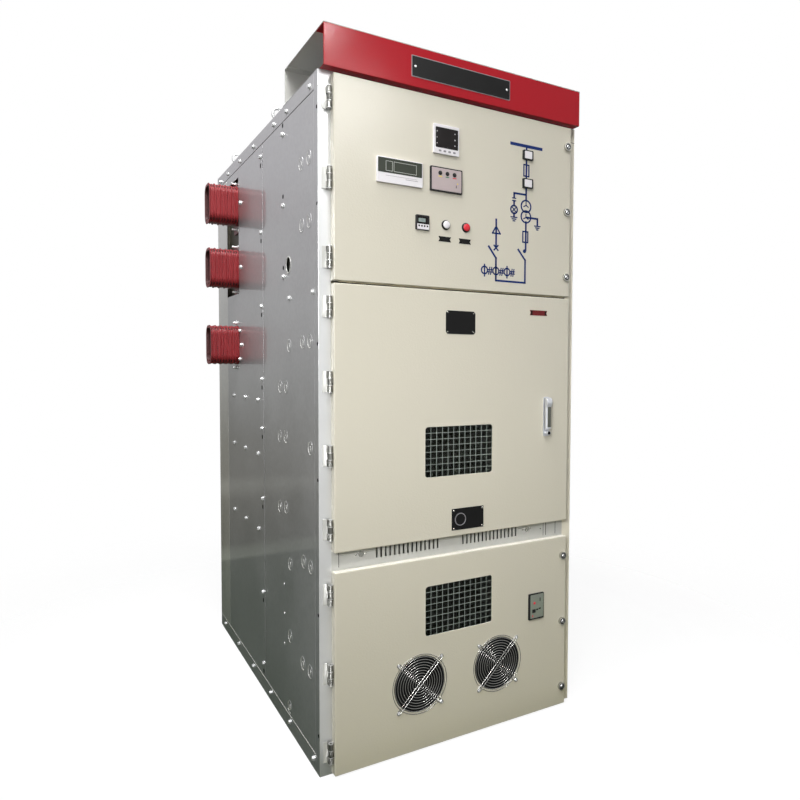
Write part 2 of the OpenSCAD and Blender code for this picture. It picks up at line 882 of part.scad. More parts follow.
handle_x = door_right - handle_inset;
handle_z = middle_door_z + middle_door_h / 2 - handle_drop;
handle_r = 6;
spindle_z = handle_z + handle_h / 2 - spindle_drop;
spindle_end = 3;
lever_back = door_front - handle_base_t - lever_gap;
lever_front = lever_back - lever_t;
lever_end = spindle_z - lever_l;
// Base plate with the spindle that carries the lever, and a key lock under the lever's end
module handle_base() {
    color("silver") {
        facing(handle_x, handle_z, door_front, handle_base_t) rounded(handle_w, handle_h, handle_r);
        facing(handle_x, spindle_z, door_front, door_front - lever_front - spindle_end) circle(d = spindle_d);
        facing(handle_x, handle_z - handle_h / 2 + key_lock_inset, door_front, door_front - lever_front)
            circle(d = key_lock_d);
    }
}

// Chamfered bar under a pivot block whose face slopes back to the top, with a shallow groove for the inlay
pivot_edge = 8;
pivot_slope = 11;
inlay_w = 13;
inlay_deep = 1;
inlay_margin = 6;
module handle_lever() {
    half = lever_w / 2;
    color("dimgray") difference() {
        union() {
            translate([handle_x, lever_back, lever_end]) linear_extrude(lever_l) polygon([
                [-half, 0], [half, 0], [half, lever_chamfer - lever_t], [half - lever_chamfer, -lever_t],
                [lever_chamfer - half, -lever_t], [-half, lever_chamfer - lever_t]
            ]);
            translate([handle_x, lever_back, spindle_z]) rotate([90, 0, 90])
                linear_extrude(lever_w, center = true) polygon([
                    [0, -pivot_h / 2], [0, pivot_h / 2], [-pivot_edge, pivot_h / 2],
                    [-pivot_t, pivot_h / 2 - pivot_slope], [-pivot_t, pivot_slope - pivot_h / 2],
                    [-lever_t, -pivot_h / 2]
                ]);
        }
        box([handle_x - inlay_w / 2, lever_front - cut, lever_end + inlay_margin],
            [handle_x + inlay_w / 2, lever_front + inlay_deep, spindle_z - pivot_h / 2]);
        facing(handle_x, spindle_z, lever_back + cut, lever_t - spindle_end + 2 * cut)
            circle(r = spindle_d / 2 + pin_clear);
    }
}

// Low door

module low_door() {
    color("beige") difference() {
        door_pan(low_door_z, low_door_h);
        window_hole(low_window_at, low_door_z);
        for (x = fan_xs) facing(x, fan_z, door_front + sheet + cut, sheet + 2 * cut) circle(d = fan_d);
        for (i = [0 : 2]) lock_hole(hinge_z(low_hinges, i));
        facing(module_at[0], low_door_z + module_at[1], door_front + sheet + cut, sheet + 2 * cut)
            square([module_w - 2 * case_step + 2 * cutout_clear, module_h - 2 * case_step + 2 * cutout_clear],
                   center = true);
    }
}

module low_door_hinges() {
    color("whitesmoke") door_hinges(low_hinges);
}

module low_door_locks() {
    color("whitesmoke") for (i = [0 : 2]) door_lock(hinge_z(low_hinges, i));
}

module low_window_mesh() {
    color("gray") window_mesh(low_window_at, low_door_z);
}

module low_window_glass() {
    color("lightblue") window_glass(low_window_at, low_door_z);
}

module_t = 6;
module_depth = 50;
module control_module() {
    z = low_door_z + module_at[1];
    color("dimgray") {
        facing(module_at[0], z, door_front, module_t) rounded(module_w, module_h, bezel_r);
        facing(module_at[0], z, door_front + module_depth, module_depth)
            square([module_w - 2 * case_step, module_h - 2 * case_step], center = true);
    }
}

module fan_guards() {
    color("whitesmoke") for (x = fan_xs) fan_guard(x, fan_z);
}

module fan_housings() {
    color("black") for (x = fan_xs) fan_housing(x, fan_z);
}

base_frame();
floor_plate();
front_posts();
rear_posts();
top_frame();
left_front_sheet();
left_rear_sheet();
right_front_sheet();
right_rear_sheet();
rear_upper_cover();
rear_lower_cover();
roof_front_plate();
relief_flaps();
lifting_eyes();
rear_partition();
instrument_back_plate();
instrument_floor();
breaker_floor();
vent_strip();
lintel();
wiring_trough();
bushing_recess();
upper_bushing();
middle_bushing();
lower_bushing();
frame_hinges();
top_door();
top_door_hinges();
top_door_locks();
panel_meter();
relay();
voltage_indicator();
temperature_controller();
white_button();
red_button();
position_indicators();
middle_door();
middle_door_hinges();
middle_window_mesh();
middle_window_glass();
crank_cover();
handle_base();
handle_lever();
low_door();
low_door_hinges();
low_door_locks();
low_window_mesh();
low_window_glass();
control_module();
fan_guards();
fan_housings();
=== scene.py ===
"""Looks of the indoor switchgear cabinet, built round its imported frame.

Places on a flat side are millimetres across and up in the frame's own axes, and heights are out of that side.
A name that ends in _WIRE holds a wire's height and radius, and one that ends in _DEPTH a low and a high.
"""
import json
import math
import random

import bmesh
import bpy
from mathutils import Matrix, Vector

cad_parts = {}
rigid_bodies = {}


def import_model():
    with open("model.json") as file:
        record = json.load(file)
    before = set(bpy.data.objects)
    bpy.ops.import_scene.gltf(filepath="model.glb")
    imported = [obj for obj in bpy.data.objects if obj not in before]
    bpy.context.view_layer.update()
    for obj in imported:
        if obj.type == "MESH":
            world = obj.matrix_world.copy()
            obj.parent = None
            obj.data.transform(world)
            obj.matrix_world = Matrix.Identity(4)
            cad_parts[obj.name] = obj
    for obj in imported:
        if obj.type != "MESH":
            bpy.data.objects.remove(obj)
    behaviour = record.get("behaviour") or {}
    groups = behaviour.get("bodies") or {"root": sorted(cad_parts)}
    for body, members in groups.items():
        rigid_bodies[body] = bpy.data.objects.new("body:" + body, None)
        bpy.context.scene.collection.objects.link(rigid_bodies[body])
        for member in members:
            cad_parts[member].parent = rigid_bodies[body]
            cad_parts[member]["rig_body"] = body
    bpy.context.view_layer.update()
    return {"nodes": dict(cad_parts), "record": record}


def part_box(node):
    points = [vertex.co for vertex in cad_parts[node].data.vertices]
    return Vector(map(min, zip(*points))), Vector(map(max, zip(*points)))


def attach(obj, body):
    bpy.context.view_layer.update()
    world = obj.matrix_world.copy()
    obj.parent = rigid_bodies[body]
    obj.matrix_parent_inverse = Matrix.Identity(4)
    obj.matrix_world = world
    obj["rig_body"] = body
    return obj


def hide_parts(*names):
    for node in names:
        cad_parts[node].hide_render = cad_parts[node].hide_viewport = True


MM = 0.001
X = Vector((1, 0, 0))
Y = Vector((0, 1, 0))
Z = Vector((0, 0, 1))
DICE = random.Random(11)

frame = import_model()


# Finishes

def tint(red, green, blue):
    """Linear colour of a screen colour given from 0 to 255."""
    return [((c / 255 + 0.055) / 1.055) ** 2.4 for c in (red, green, blue)]


def add(tree, kind, *values, **inputs):
    """New shader node, whose inputs, in order or by name, are set to values or linked to sockets."""
    made = tree.nodes.new(kind)
    named = [(made.inputs[name.replace("_", " ")], value) for name, value in inputs.items()]
    for socket, value in list(zip(made.inputs, values)) + named:
        if isinstance(value, bpy.types.NodeSocket):
            tree.links.new(value, socket)
        else:
            socket.default_value = value
    return made


DRIFT_FROM, DRIFT_TO = 0.3, 0.7
SPANGLE_SHARE = 0.25
SMOOTHEST = 0.02


def finish(name, colour, rough, tone=0.05, tone_scale=5.0, cells=0.0, grain=0.08, grain_scale=900.0,
           grain_depth=0.0003, spread=0.05, peel=False, **sockets):
    """Material whose tone and gloss drift a little over the piece, with a fine grain in its surface.

    With peel its clear coat follows the grain, as a powder coat does.
    """
    material = bpy.data.materials.new(name)
    material.use_nodes = True
    tree = material.node_tree
    shader = tree.nodes["Principled BSDF"]
    place = tree.nodes.new("ShaderNodeTexCoord").outputs["Object"]
    drift = add(tree, "ShaderNodeTexNoise", Vector=place, Scale=tone_scale, Detail=3.0).outputs["Fac"]
    shade = drift
    if cells:
        spangle = add(tree, "ShaderNodeTexVoronoi", Vector=place, Scale=cells).outputs["Color"]
        level = add(tree, "ShaderNodeSeparateColor", Color=spangle).outputs["Red"]
        shade = add(tree, "ShaderNodeMix", Factor=SPANGLE_SHARE, A=drift, B=level).outputs["Result"]
    ramp = add(tree, "ShaderNodeValToRGB", Fac=shade)
    for stop, at, gain in zip(ramp.color_ramp.elements, (DRIFT_FROM, DRIFT_TO), (1 - tone, 1 + tone)):
        stop.position = at
        stop.color = [min(1.0, c * gain) for c in colour] + [1]
    tree.links.new(ramp.outputs["Color"], shader.inputs["Base Color"])
    gloss = add(tree, "ShaderNodeMapRange", Value=shade, From_Min=DRIFT_FROM, From_Max=DRIFT_TO,
                To_Min=max(SMOOTHEST, rough - spread), To_Max=rough + spread)
    tree.links.new(gloss.outputs["Result"], shader.inputs["Roughness"])
    pits = add(tree, "ShaderNodeTexNoise", Vector=place, Scale=grain_scale, Detail=2.0).outputs["Fac"]
    bump = add(tree, "ShaderNodeBump", Height=pits, Strength=grain, Distance=grain_depth)
    tree.links.new(bump.outputs["Normal"], shader.inputs["Normal"])
    if peel:
        tree.links.new(bump.outputs["Normal"], shader.inputs["Coat Normal"])
    for socket, value in sockets.items():
        shader.inputs[socket.replace("_", " ")].default_value = value
    return material


SPANGLED = {"tone": 0.07, "tone_scale": 2.5, "cells": 90, "grain": 0.12, "grain_scale": 700, "spread": 0.04,
            "Coat_Roughness": 0.05}
ZINC = finish("zinc_sheet", tint(179, 179, 180), 0.5, Metallic=0.9, Coat_Weight=0.8, **SPANGLED)
PALE_ZINC = finish("pale_zinc_sheet", tint(206, 205, 200), 0.5, Metallic=0.75, Coat_Weight=1.0, **SPANGLED)
# A darker copy of the zinc for the plates inside the cabinet: painted shade of the closed inside.
ZINC_INSIDE_SHADE = finish("zinc_inside_painted_shade", tint(120, 118, 110), 0.45, tone=0.08, tone_scale=4, cells=60, Metallic=1.0)
BRIGHT = finish("bright_zinc", tint(214, 215, 215), 0.34, tone=0.04, tone_scale=7, Metallic=0.7)
DULL = finish("dull_zinc", tint(196, 196, 192), 0.55, tone=0.06, tone_scale=6, Metallic=0.15)
SHADY = finish("shaded_zinc", tint(92, 88, 74), 0.6, tone=0.08, tone_scale=6)
SEAL = finish("door_seal", tint(206, 204, 194), 0.7, tone=0.03, tone_scale=12)
GAP_SEAL = finish("gap_seal", tint(208, 197, 166), 0.7, tone=0.03, tone_scale=12)
HINGE = finish("hinge_zinc", tint(118, 118, 114), 0.3, tone=0.1, tone_scale=40, Metallic=1.0)
CREAM = finish("cream_paint", tint(204, 199, 183), 0.36, tone=0.004, tone_scale=3, grain=0.8, grain_scale=190,
               grain_depth=0.0006, spread=0.004, peel=True, Coat_Weight=0.5, Coat_Roughness=0.14)
POST_CREAM = finish("cream_post", tint(236, 230, 212), 0.4, tone=0.01)
# A paler cream for faces that look up: a painted highlight of the light from above.
CREAM_TOP_HIGHLIGHT = finish("cream_painted_top_highlight", tint(250, 247, 236), 0.36, tone=0.004)
RED = finish("red_paint", tint(170, 24, 36), 0.18, tone=0.008, grain=0.5, grain_scale=240, grain_depth=0.0004,
             spread=0.005, peel=True, Specular_IOR_Level=0.1, Coat_Weight=0.12, Coat_Roughness=0.1)
RESIN = finish("red_resin", tint(128, 26, 32), 0.46, tone=0.07, tone_scale=14)
# A darker copy of the resin for the inside of the bore: painted shade of the hollow.
BORE = finish("resin_bore_painted_shade", tint(66, 20, 20), 0.6, tone=0.07, tone_scale=14)
PLATED = {"tone": 0.04, "tone_scale": 30, "spread": 0.03, "Metallic": 1.0}
GUARD = finish("guard_wire", tint(178, 178, 172), 0.16, **PLATED)
STREAKED = finish("guard_chrome", tint(160, 160, 157), 0.12, **PLATED)
MILL = finish("mill_zinc", tint(190, 190, 185), 0.55, tone=0.06, tone_scale=6, Metallic=0.15)
SATIN = finish("satin_chrome", tint(196, 198, 203), 0.34, tone=0.03, tone_scale=30, Metallic=0.6)
CHROME = finish("chrome", tint(226, 227, 228), 0.1, tone=0.03, tone_scale=30, spread=0.04, Metallic=1.0)
WHITE = finish("white_plastic", tint(224, 221, 224), 0.4, tone=0.02)
DARK = finish("dark_plastic", tint(18, 18, 19), 0.42, tone=0.12, tone_scale=20, Specular_IOR_Level=0.25)
LENS = finish("red_lens", tint(206, 28, 44), 0.22, tone=0.05, tone_scale=40)
WIRE = finish("mesh_wire", tint(160, 170, 162), 0.45, tone=0.12, tone_scale=30, Metallic=0.5)
GLASS = finish("window_glass", tint(214, 226, 222), 0.05, tone=0.01, spread=0.02, grain=0.01,
               Transmission_Weight=1.0, IOR=1.16)
NAVY = finish("mimic_blue", tint(12, 38, 98), 0.45, tone=0.05, tone_scale=20, Specular_IOR_Level=0.2)
BLACK = finish("hole_black", tint(10, 11, 11), 0.8, tone=0.2, Specular_IOR_Level=0.1)
PLATE = finish("plate_black", tint(12, 12, 12), 0.4, tone=0.2, tone_scale=14, Specular_IOR_Level=0.15)
SCREEN = finish("screen", tint(20, 15, 15), 0.2, tone=0.1, tone_scale=20, Specular_IOR_Level=0.2)
DISPLAY = finish("relay_display", tint(52, 56, 48), 0.35, tone=0.08, tone_scale=20, Specular_IOR_Level=0.2)
TAUPE = finish("indicator_face", tint(176, 162, 162), 0.5, tone=0.03, tone_scale=20)
INLAY = finish("handle_inlay", tint(78, 80, 72), 0.5, tone=0.05, tone_scale=20)
SAGE = finish("module_face", tint(126, 134, 122), 0.45, tone=0.05, tone_scale=20)
PALE = finish("lcd_grey", tint(132, 146, 142), 0.3, tone=0.05, tone_scale=40)
GREY = finish("key_grey", tint(128, 126, 130), 0.4, tone=0.05, tone_scale=40)
SILVER = finish("display_grey", tint(176, 178, 172), 0.45, tone=0.04, tone_scale=40)
MAROON = finish("label_red", tint(104, 26, 30), 0.45, tone=0.08, tone_scale=20, Specular_IOR_Level=0.2)
AMBER = finish("mark_amber", tint(224, 200, 60), 0.4, tone=0.04, tone_scale=40)
GREEN = finish("mark_green", tint(40, 120, 76), 0.4, tone=0.04, tone_scale=40)
SCARLET = finish("mark_red", tint(214, 50, 60), 0.4, tone=0.04, tone_scale=40)


# Flat sides of the cabinet and shapes on them

def side(across, up, out, through):
    """Matrix that takes millimetres across, up and out of a flat side to metres in the frame."""
    columns = Matrix((across * MM, up * MM, out * MM)).transposed().to_4x4()
    return Matrix.Translation(out * out.dot(through)) @ columns


def front_of(node):
    """The plane of a node's foremost face."""
    return side(X, Z, -Y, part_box(node)[0])


def middle(node):
    """A node's middle, across and up on the front."""
    low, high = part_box(node)
    return (low.x + high.x) / 2 / MM, (low.z + high.z) / 2 / MM


DOOR = front_of("top_door")
POST = front_of("front_posts")
VENT = front_of("vent_strip")
LINTEL = front_of("lintel")
LEFT = side(Y, Z, -X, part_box("left_front_sheet")[0])
RIGHT = side(Y, Z, X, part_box("right_front_sheet")[1])
REAR = side(X, Z, Y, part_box("rear_upper_cover")[1])
ROOF = side(X, Y, Z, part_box("relief_flaps")[1])


def oblong(u, v, width, height, radius=0.0, steps=5):
    """Outline of a rectangle round a middle, with round corners if it has a radius."""
    if not radius:
        return [(u + a * width / 2, v + b * height / 2) for a, b in ((-1, -1), (1, -1), (1, 1), (-1, 1))]
    points = []
    for quarter, (a, b) in enumerate(((1, 1), (-1, 1), (-1, -1), (1, -1))):
        for step in range(steps + 1):
            angle = math.pi / 2 * (quarter + step / steps)
            points.append((u + a * (width / 2 - radius) + radius * math.cos(angle),
                           v + b * (height / 2 - radius) + radius * math.sin(angle)))
    return points


def arc(u, v, radius, start, end, steps):
    """Points along an arc between two angles in degrees. A whole turn leaves out its last point."""
    angles = [math.radians(start + (end - start) * i / steps) for i in range(steps + (end - start < 360))]
    return [(u + radius * math.cos(a), v + radius * math.sin(a)) for a in angles]


SHARP = math.radians(35)
CORNER = math.radians(40)


class Piece:
    """A joined mesh made of solids that stand on flat sides."""

    def __init__(self, name):
        self.name = name
        self.mesh = bmesh.new()

    def skin(self, rings, loop=False):
        """Joins rings of points with faces. The two ends are closed, unless the last ring meets the first."""
        rows = [[self.mesh.verts.new(point) for point in ring] for ring in rings]
        count = len(rows[0])
        pairs = list(zip(rows, rows[1:]))
        if loop:
            pairs.append((rows[-1], rows[0]))
        faces = []
        for near, far in pairs:
            for i in range(count):
                j = (i + 1) % count
                faces.append(self.mesh.faces.new((near[i], near[j], far[j], far[i])))
        if not loop:
            faces.append(self.mesh.faces.new(rows[0]))
            faces.append(self.mesh.faces.new(rows[-1]))
        bmesh.ops.recalc_face_normals(self.mesh, faces=faces)

    def prism(self, plane, outline, low, high):
        """An outline between two heights over a plane."""
        self.skin([[plane @ Vector((u, v, w)) for u, v in outline] for w in (low, high)])

    def turned(self, plane, u, v, profile, steps=20, turn=0.0, loop=False):
        """A profile of radius and height turned round the plane's normal."""
        spokes = [(math.cos(a), math.sin(a)) for a in (turn + 2 * math.pi * i / steps for i in range(steps))]
        rings = []
        for radius, w in profile:
            rings.append([plane @ Vector((u + radius * a, v + radius * b, w)) for a, b in spokes])
        self.skin(rings, loop)

    def ring(self, plane, u, v, radius, width, low, high, steps=32):
        """A flat ring."""
        inner, outer = radius - width / 2, radius + width / 2
        self.turned(plane, u, v, [(inner, low), (outer, low), (outer, high), (inner, high)], steps, loop=True)

    def bar(self, plane, start, end, width, low, high):
        """A straight flat strip whose ends reach half its width further."""
        run = Vector((end[0] - start[0], end[1] - start[1])).normalized() * width / 2
        cross = Vector((-run.y, run.x))
        a, b = Vector(start) - run, Vector(end) + run
        self.prism(plane, [a - cross, b - cross, b + cross, a + cross], low, high)

    def frame(self, plane, u, v, width, height, line_width, low, high):
        """Four strips along the sides of a rectangle round a middle."""
        corners = oblong(u, v, width, height)
        for start, end in zip(corners, corners[1:] + corners[:1]):
            self.bar(plane, start, end, line_width, low, high)

    def wire(self, plane, path, w, radius, closed=False, sides=8):
        """A round wire along a path that stays at one height."""
        points = [Vector(p) for p in path]
        rings = []
        for i, point in enumerate(points):
            before = points[i - 1] if closed or i else point
            after = points[(i + 1) % len(points)] if closed or i + 1 < len(points) else point
            run = (after - before).normalized()
            cross = Vector((-run.y, run.x))
            ring = []
            for k in range(sides):
                angle = 2 * math.pi * k / sides
                spot = point + cross * radius * math.cos(angle)
                ring.append(plane @ Vector((spot.x, spot.y, w + radius * math.sin(angle))))
            rings.append(ring)
        self.skin(rings, closed)

    def made(self, material, body, slot, replaces=(), edge=0.0):
        """Ends the piece: an object that rides on a body, its sharp edges rounded if an edge is given."""
        data = bpy.data.meshes.new(self.name)
        self.mesh.to_mesh(data)
        self.mesh.free()
        data.materials.append(material)
        data.shade_smooth()
        data.set_sharp_from_angle(angle=SHARP)
        item = bpy.data.objects.new(self.name, data)
        bpy.context.scene.collection.objects.link(item)
        if edge:
            bevel = item.modifiers.new("edge", "BEVEL")
            bevel.width = edge * MM
            bevel.segments = 2
            bevel.limit_method = "ANGLE"
            bevel.angle_limit = CORNER
        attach(item, body)
        if replaces:
            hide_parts(*replaces)
        return item


DOME_STEPS = 5
DOME_TIP = 0.06


def dome(radius, height, low=0.0):
    """Profile of a low round head."""
    angles = [math.pi / 2 * i / DOME_STEPS for i in range(DOME_STEPS)]
    profile = [(radius * math.cos(a), low + height * math.sin(a)) for a in angles]
    return profile + [(radius * DOME_TIP, low + height)]


WASHER = ((1.35, 0), (1.35, 1.4), (1.28, 1.8))
HEAD = ((1, 1.8), (1, 6), (0.86, 7.2))


def hex_bolt(piece, plane, u, v, size, foot=0.0):
    """A six-sided bolt head on a washer. Their profiles have radii as shares of the head's size."""
    piece.turned(plane, u, v, [(size * share, foot + w) for share, w in WASHER])
    turn = DICE.uniform(0, math.pi / 3)
    piece.turned(plane, u, v, [(size * share, foot + w) for share, w in HEAD], 6, turn)


SQUARE_ON = 0.999
NEAR = 1e-5


def soften(node, material, radius, rule="box"):
    """Shows a copy of a node with round edges: those of its box, of its front face, or all the sharp ones."""
    source = frame["nodes"][node]
    mesh = bmesh.new()
    mesh.from_mesh(source.data)
    bmesh.ops.remove_doubles(mesh, verts=mesh.verts, dist=1e-6)
    bmesh.ops.dissolve_limit(mesh, angle_limit=math.radians(0.5), verts=mesh.verts, edges=mesh.edges)
    low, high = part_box(node)

    def on_box(face):
        axis = max(range(3), key=lambda i: abs(face.normal[i]))
        at = face.calc_center_median()[axis]
        return abs(face.normal[axis]) > SQUARE_ON and min(abs(at - low[axis]), abs(at - high[axis])) < NEAR

    def on_front(face):
        return face.normal.y < -SQUARE_ON and abs(face.calc_center_median().y - low.y) < NEAR

    edges = []
    for edge in mesh.edges:
        if len(edge.link_faces) != 2 or not edge.is_convex or edge.calc_face_angle() < CORNER:
            continue
        faces = edge.link_faces
        if rule == "sharp" or (rule == "box" and all(on_box(f) for f in faces)) \
                or (rule == "front" and any(on_front(f) for f in faces)):
            edges.append(edge)
    bmesh.ops.bevel(mesh, geom=edges, offset=radius * MM, segments=4, profile=0.5, affect="EDGES",
                    clamp_overlap=True)
    piece = Piece(node + "_skin")
    piece.mesh.free()
    piece.mesh = mesh
    item = piece.made(material, source["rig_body"], SLOT_OF[node], (node,))
    item.modifiers.new("flat", "WEIGHTED_NORMAL").keep_sharp = True
    return item


def repaint(item, material, chosen):
    """Gives another material to the faces of an item that a test chooses."""
    item.data.materials.append(material)
    for face in item.data.polygons:
        if chosen(face):
            face.material_index = len(item.data.materials) - 1


SLOT_OF = {part["node"]: part["material_slot"] for part in frame["record"]["subparts"]}
FINISH_OF = {"zinc_sheet": ZINC, "bright_zinc": BRIGHT, "cream_paint": CREAM, "red_paint": RED,
             "red_resin": RESIN, "chrome": CHROME, "white_plastic": WHITE, "dark_plastic": DARK,
             "red_plastic": LENS, "mesh_wire": WIRE, "glass": GLASS}
# The plates inside take the darker zinc, which paints the shade inside the cabinet.
OWN_FINISH = {"rear_partition": ZINC_INSIDE_SHADE, "breaker_floor": ZINC_INSIDE_SHADE, "floor_plate": ZINC_INSIDE_SHADE,
              "fan_housings": BLACK, "instrument_floor": SHADY, "bushing_recess": SHADY,
              "wiring_trough": MILL, "vent_strip": MILL, "instrument_back_plate": MILL}
for name, item in frame["nodes"].items():
    item.data.materials.clear()
    item.data.materials.append(OWN_FINISH.get(name, FINISH_OF[SLOT_OF[name]]))

DOORS = ("top_door", "middle_door", "low_door")
DOOR_FOLD = 3.4
POST_FOLD = 2.0
HINGE_EDGE = 0.5
KNUCKLE_LEFT = -476.5
FACING = 0.9
SOFT_EDGES = (
    (("base_frame", "top_frame"), ZINC, 1.6, "box"),
    (("lintel",), RED, 1.8, "box"),
    (("panel_meter", "relay"), WHITE, 1.0, "front"),
    (("voltage_indicator", "temperature_controller"), DARK, 0.8, "front"),
    (("position_indicators", "control_module"), DARK, 0.8, "front"),
    (("top_door_locks", "low_door_locks"), GUARD, 0.9, "sharp"),
    (("handle_base",), SATIN, 0.7, "sharp"),
    (("handle_lever",), SATIN, 0.9, "sharp"),
    (("crank_cover",), PLATE, 1.0, "sharp"),
)
# Faces of the doors that look up take the paler cream: a painted highlight of the light from above.
for name in DOORS:
    repaint(soften(name, CREAM, DOOR_FOLD), CREAM_TOP_HIGHLIGHT, lambda face: face.normal.z > FACING)
for name in ("front_posts", "rear_posts"):
    posts = soften(name, BRIGHT, POST_FOLD)
    repaint(posts, ZINC, lambda face: abs(face.normal.x) > FACING)
    repaint(posts, POST_CREAM, lambda face: face.normal.y < -FACING and face.center.x > 0)
for names, material, radius, rule in SOFT_EDGES:
    for name in names:
        soften(name, material, radius, rule)
for name in ("frame_hinges",) + tuple(door + "_hinges" for door in DOORS):
    hinges = soften(name, HINGE, HINGE_EDGE, "sharp")
    repaint(hinges, DULL, lambda face: face.center.x < KNUCKLE_LEFT * MM)


# Bushings: a ribbed sleeve of cast resin on a flange

SLEEVE_IN = 30
SLEEVE_WALL = 9
BORE_WALL = 7
FLANGE_T = 8
FLANGE_CORNER = 8
FLANGE_AT = {"upper": -20, "middle": -20, "lower": -10}
CORE = (105, 160, 35)
RIB_COUNT = 11
RIB_PITCH = 11.4
SHORT_RIB = 0.45
WIDE_RIB = 1.3
HALF_WAVE = ((0.8, 5.0), (1.7, 4.2), (2.3, 2.2), (3.4, 0.0))
RIB_WAVE = [(-along, rise) for along, rise in reversed(HALF_WAVE)] + list(HALF_WAVE)
TIP_RIB = 2
TIP_LAND = 0.6
MOUTH = ((0, 3.4), (0, -6.5), (-2, -8), (-12, -SLEEVE_WALL))


def side_middle(node):
    """A node's middle, along and up on the left side."""
    low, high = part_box(node)
    return (low.y + high.y) / 2 / MM, (low.z + high.z) / 2 / MM


def sleeve(name, node, flange_at):
    """A ribbed sleeve in place of a bushing. Its flange starts at a height over the left side."""
    low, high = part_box(node)
    u, v = side_middle(node)
    flange = ((high.y - low.y) / MM, (high.z - low.z) / MM, FLANGE_CORNER)
    tip = (LEFT.inverted() @ low).z

    def grown(rise):
        return CORE[0] + 2 * rise, CORE[1] + 2 * rise, CORE[2] + rise

    stations = [(-SLEEVE_IN, grown(0)), (flange_at, grown(0)), (flange_at, flange),
                (flange_at + FLANGE_T, flange), (flange_at + FLANGE_T, grown(0))]
    for i in range(RIB_COUNT):
        centre = tip - TIP_RIB - (RIB_COUNT - 1 - i) * RIB_PITCH
        wide, tall = (1, SHORT_RIB) if i % 2 else (WIDE_RIB, 1)
        stations += [(min(centre + along * wide, tip - TIP_LAND), grown(rise * tall))
                     for along, rise in RIB_WAVE
                     if centre + along * wide < tip or rise == 0 and i < RIB_COUNT - 1]
    stations += [(tip + w, grown(rise)) for w, rise in MOUTH]
    stations.append((-SLEEVE_IN, grown(-SLEEVE_WALL)))
    piece = Piece(name)
    rings = []
    for w, (width, height, radius) in stations:
        rings.append([LEFT @ Vector((a, b, w)) for a, b in oblong(u, v, width, height, radius, 8)])
    piece.skin(rings, loop=True)
    item = piece.made(RESIN, "cabinet", "red_resin", (node,))

    def in_bore(face):
        at = LEFT.inverted() @ face.center
        return abs(at.x - u) < CORE[0] / 2 - BORE_WALL and abs(at.y - v) < CORE[1] / 2 - BORE_WALL

    # Faces inside the bore take the darker resin, a painted shade.
    repaint(item, BORE, in_bore)
    item.modifiers.new("flat", "WEIGHTED_NORMAL").keep_sharp = True


for tag, flange_at in FLANGE_AT.items():
    sleeve(tag + "_sleeve", tag + "_bushing", flange_at)


# Windows and fan guards of round wire

WINDOW = (265, 170)
WINDOW_LAP = 14
MESH_CELLS = (12, 8)
UPRIGHT_WIRE = (-3.0, 0.8)
CROSS_WIRE = (-3.4, 0.75)
FRAME_DEPTH = (-4.4, -2.1)
RIM_GAP = 0.8
RIM_CORNER = 10.8
RIM_WIRE = (-0.9, 1.1)


def window_wires(name, node, body):
    """A window's mesh of round wires in a flat frame, and the folded rim of its cut-out."""
    u, v = middle(node)
    piece = Piece(name)
    reach = (WINDOW[0] / 2 + WINDOW_LAP / 2, WINDOW[1] / 2 + WINDOW_LAP / 2)
    for i in range(1, MESH_CELLS[0]):
        at = u + WINDOW[0] * (i / MESH_CELLS[0] - 0.5)
        piece.wire(DOOR, [(at, v - reach[1]), (at, v + reach[1])], *UPRIGHT_WIRE)
    for i in range(1, MESH_CELLS[1]):
        at = v + WINDOW[1] * (i / MESH_CELLS[1] - 0.5)
        piece.wire(DOOR, [(u - reach[0], at), (u + reach[0], at)], *CROSS_WIRE)
    for s in (-1, 1):
        across = u + s * (WINDOW[0] + WINDOW_LAP) / 2
        piece.bar(DOOR, (across, v - reach[1]), (across, v + reach[1]), WINDOW_LAP, *FRAME_DEPTH)
        up = v + s * (WINDOW[1] + WINDOW_LAP) / 2
        left, right = u - reach[0] + WINDOW_LAP, u + reach[0] - WINDOW_LAP
        piece.bar(DOOR, (left, up), (right, up), WINDOW_LAP, *FRAME_DEPTH)
    piece.made(WIRE, body, "mesh_wire", (node,))
    rim = Piece(name + "_rim")
    outer = oblong(u, v, WINDOW[0] + 2 * RIM_GAP, WINDOW[1] + 2 * RIM_GAP, RIM_CORNER)
    rim.wire(DOOR, outer, *RIM_WIRE, closed=True)
    rim.made(CREAM, body, "cream_paint")


for tag in ("middle", "low"):
    window_wires(tag + "_window_wires", tag + "_window_mesh", tag + "_door")

FANS = (-162.5, 148.5)
FAN_UP = 232
RINGS = 11
RING_PITCH = 101 / RINGS
RING_STEPS = 48
RING_WIRE = (1.5, 1.15)
LOOP_WIRE = (4.2, 1.45)
LOOP_GAP = 11
LOOP_STEPS = 8
SCREW_REACH = 80 * math.sqrt(2)
SCREW_LEAN = 45
GUARD_SCREW = [(3.4, 0), (3.4, 2)] + dome(6.5, 3.2, 2.4)
WIRE_SIDES = 12
guards = Piece("fan_guard_wires")
screws = Piece("fan_guard_screws")
for fan in FANS:
    for i in range(1, RINGS + 1):
        path = arc(fan, FAN_UP, i * RING_PITCH, 0, 360, RING_STEPS)
        guards.wire(DOOR, path, *RING_WIRE, closed=True, sides=WIRE_SIDES)
    hubs = arc(fan, FAN_UP, SCREW_REACH, SCREW_LEAN, SCREW_LEAN + 360, 4)
    for i in (0, 1):
        path = []
        for hub, turn in ((hubs[i], SCREW_LEAN + 90 * i), (hubs[i + 2], SCREW_LEAN + 90 * i + 180)):
            path += arc(*hub, LOOP_GAP / 2, turn - 90, turn + 90, LOOP_STEPS)
        guards.wire(DOOR, path, *LOOP_WIRE, closed=True, sides=WIRE_SIDES)
    for hub in hubs:
        screws.turned(DOOR, *hub, GUARD_SCREW)
guards.made(STREAKED, "low_door", "chrome", ("fan_guards",))
screws.made(CHROME, "low_door", "chrome")


# Bolts, holes and pressings of the sides

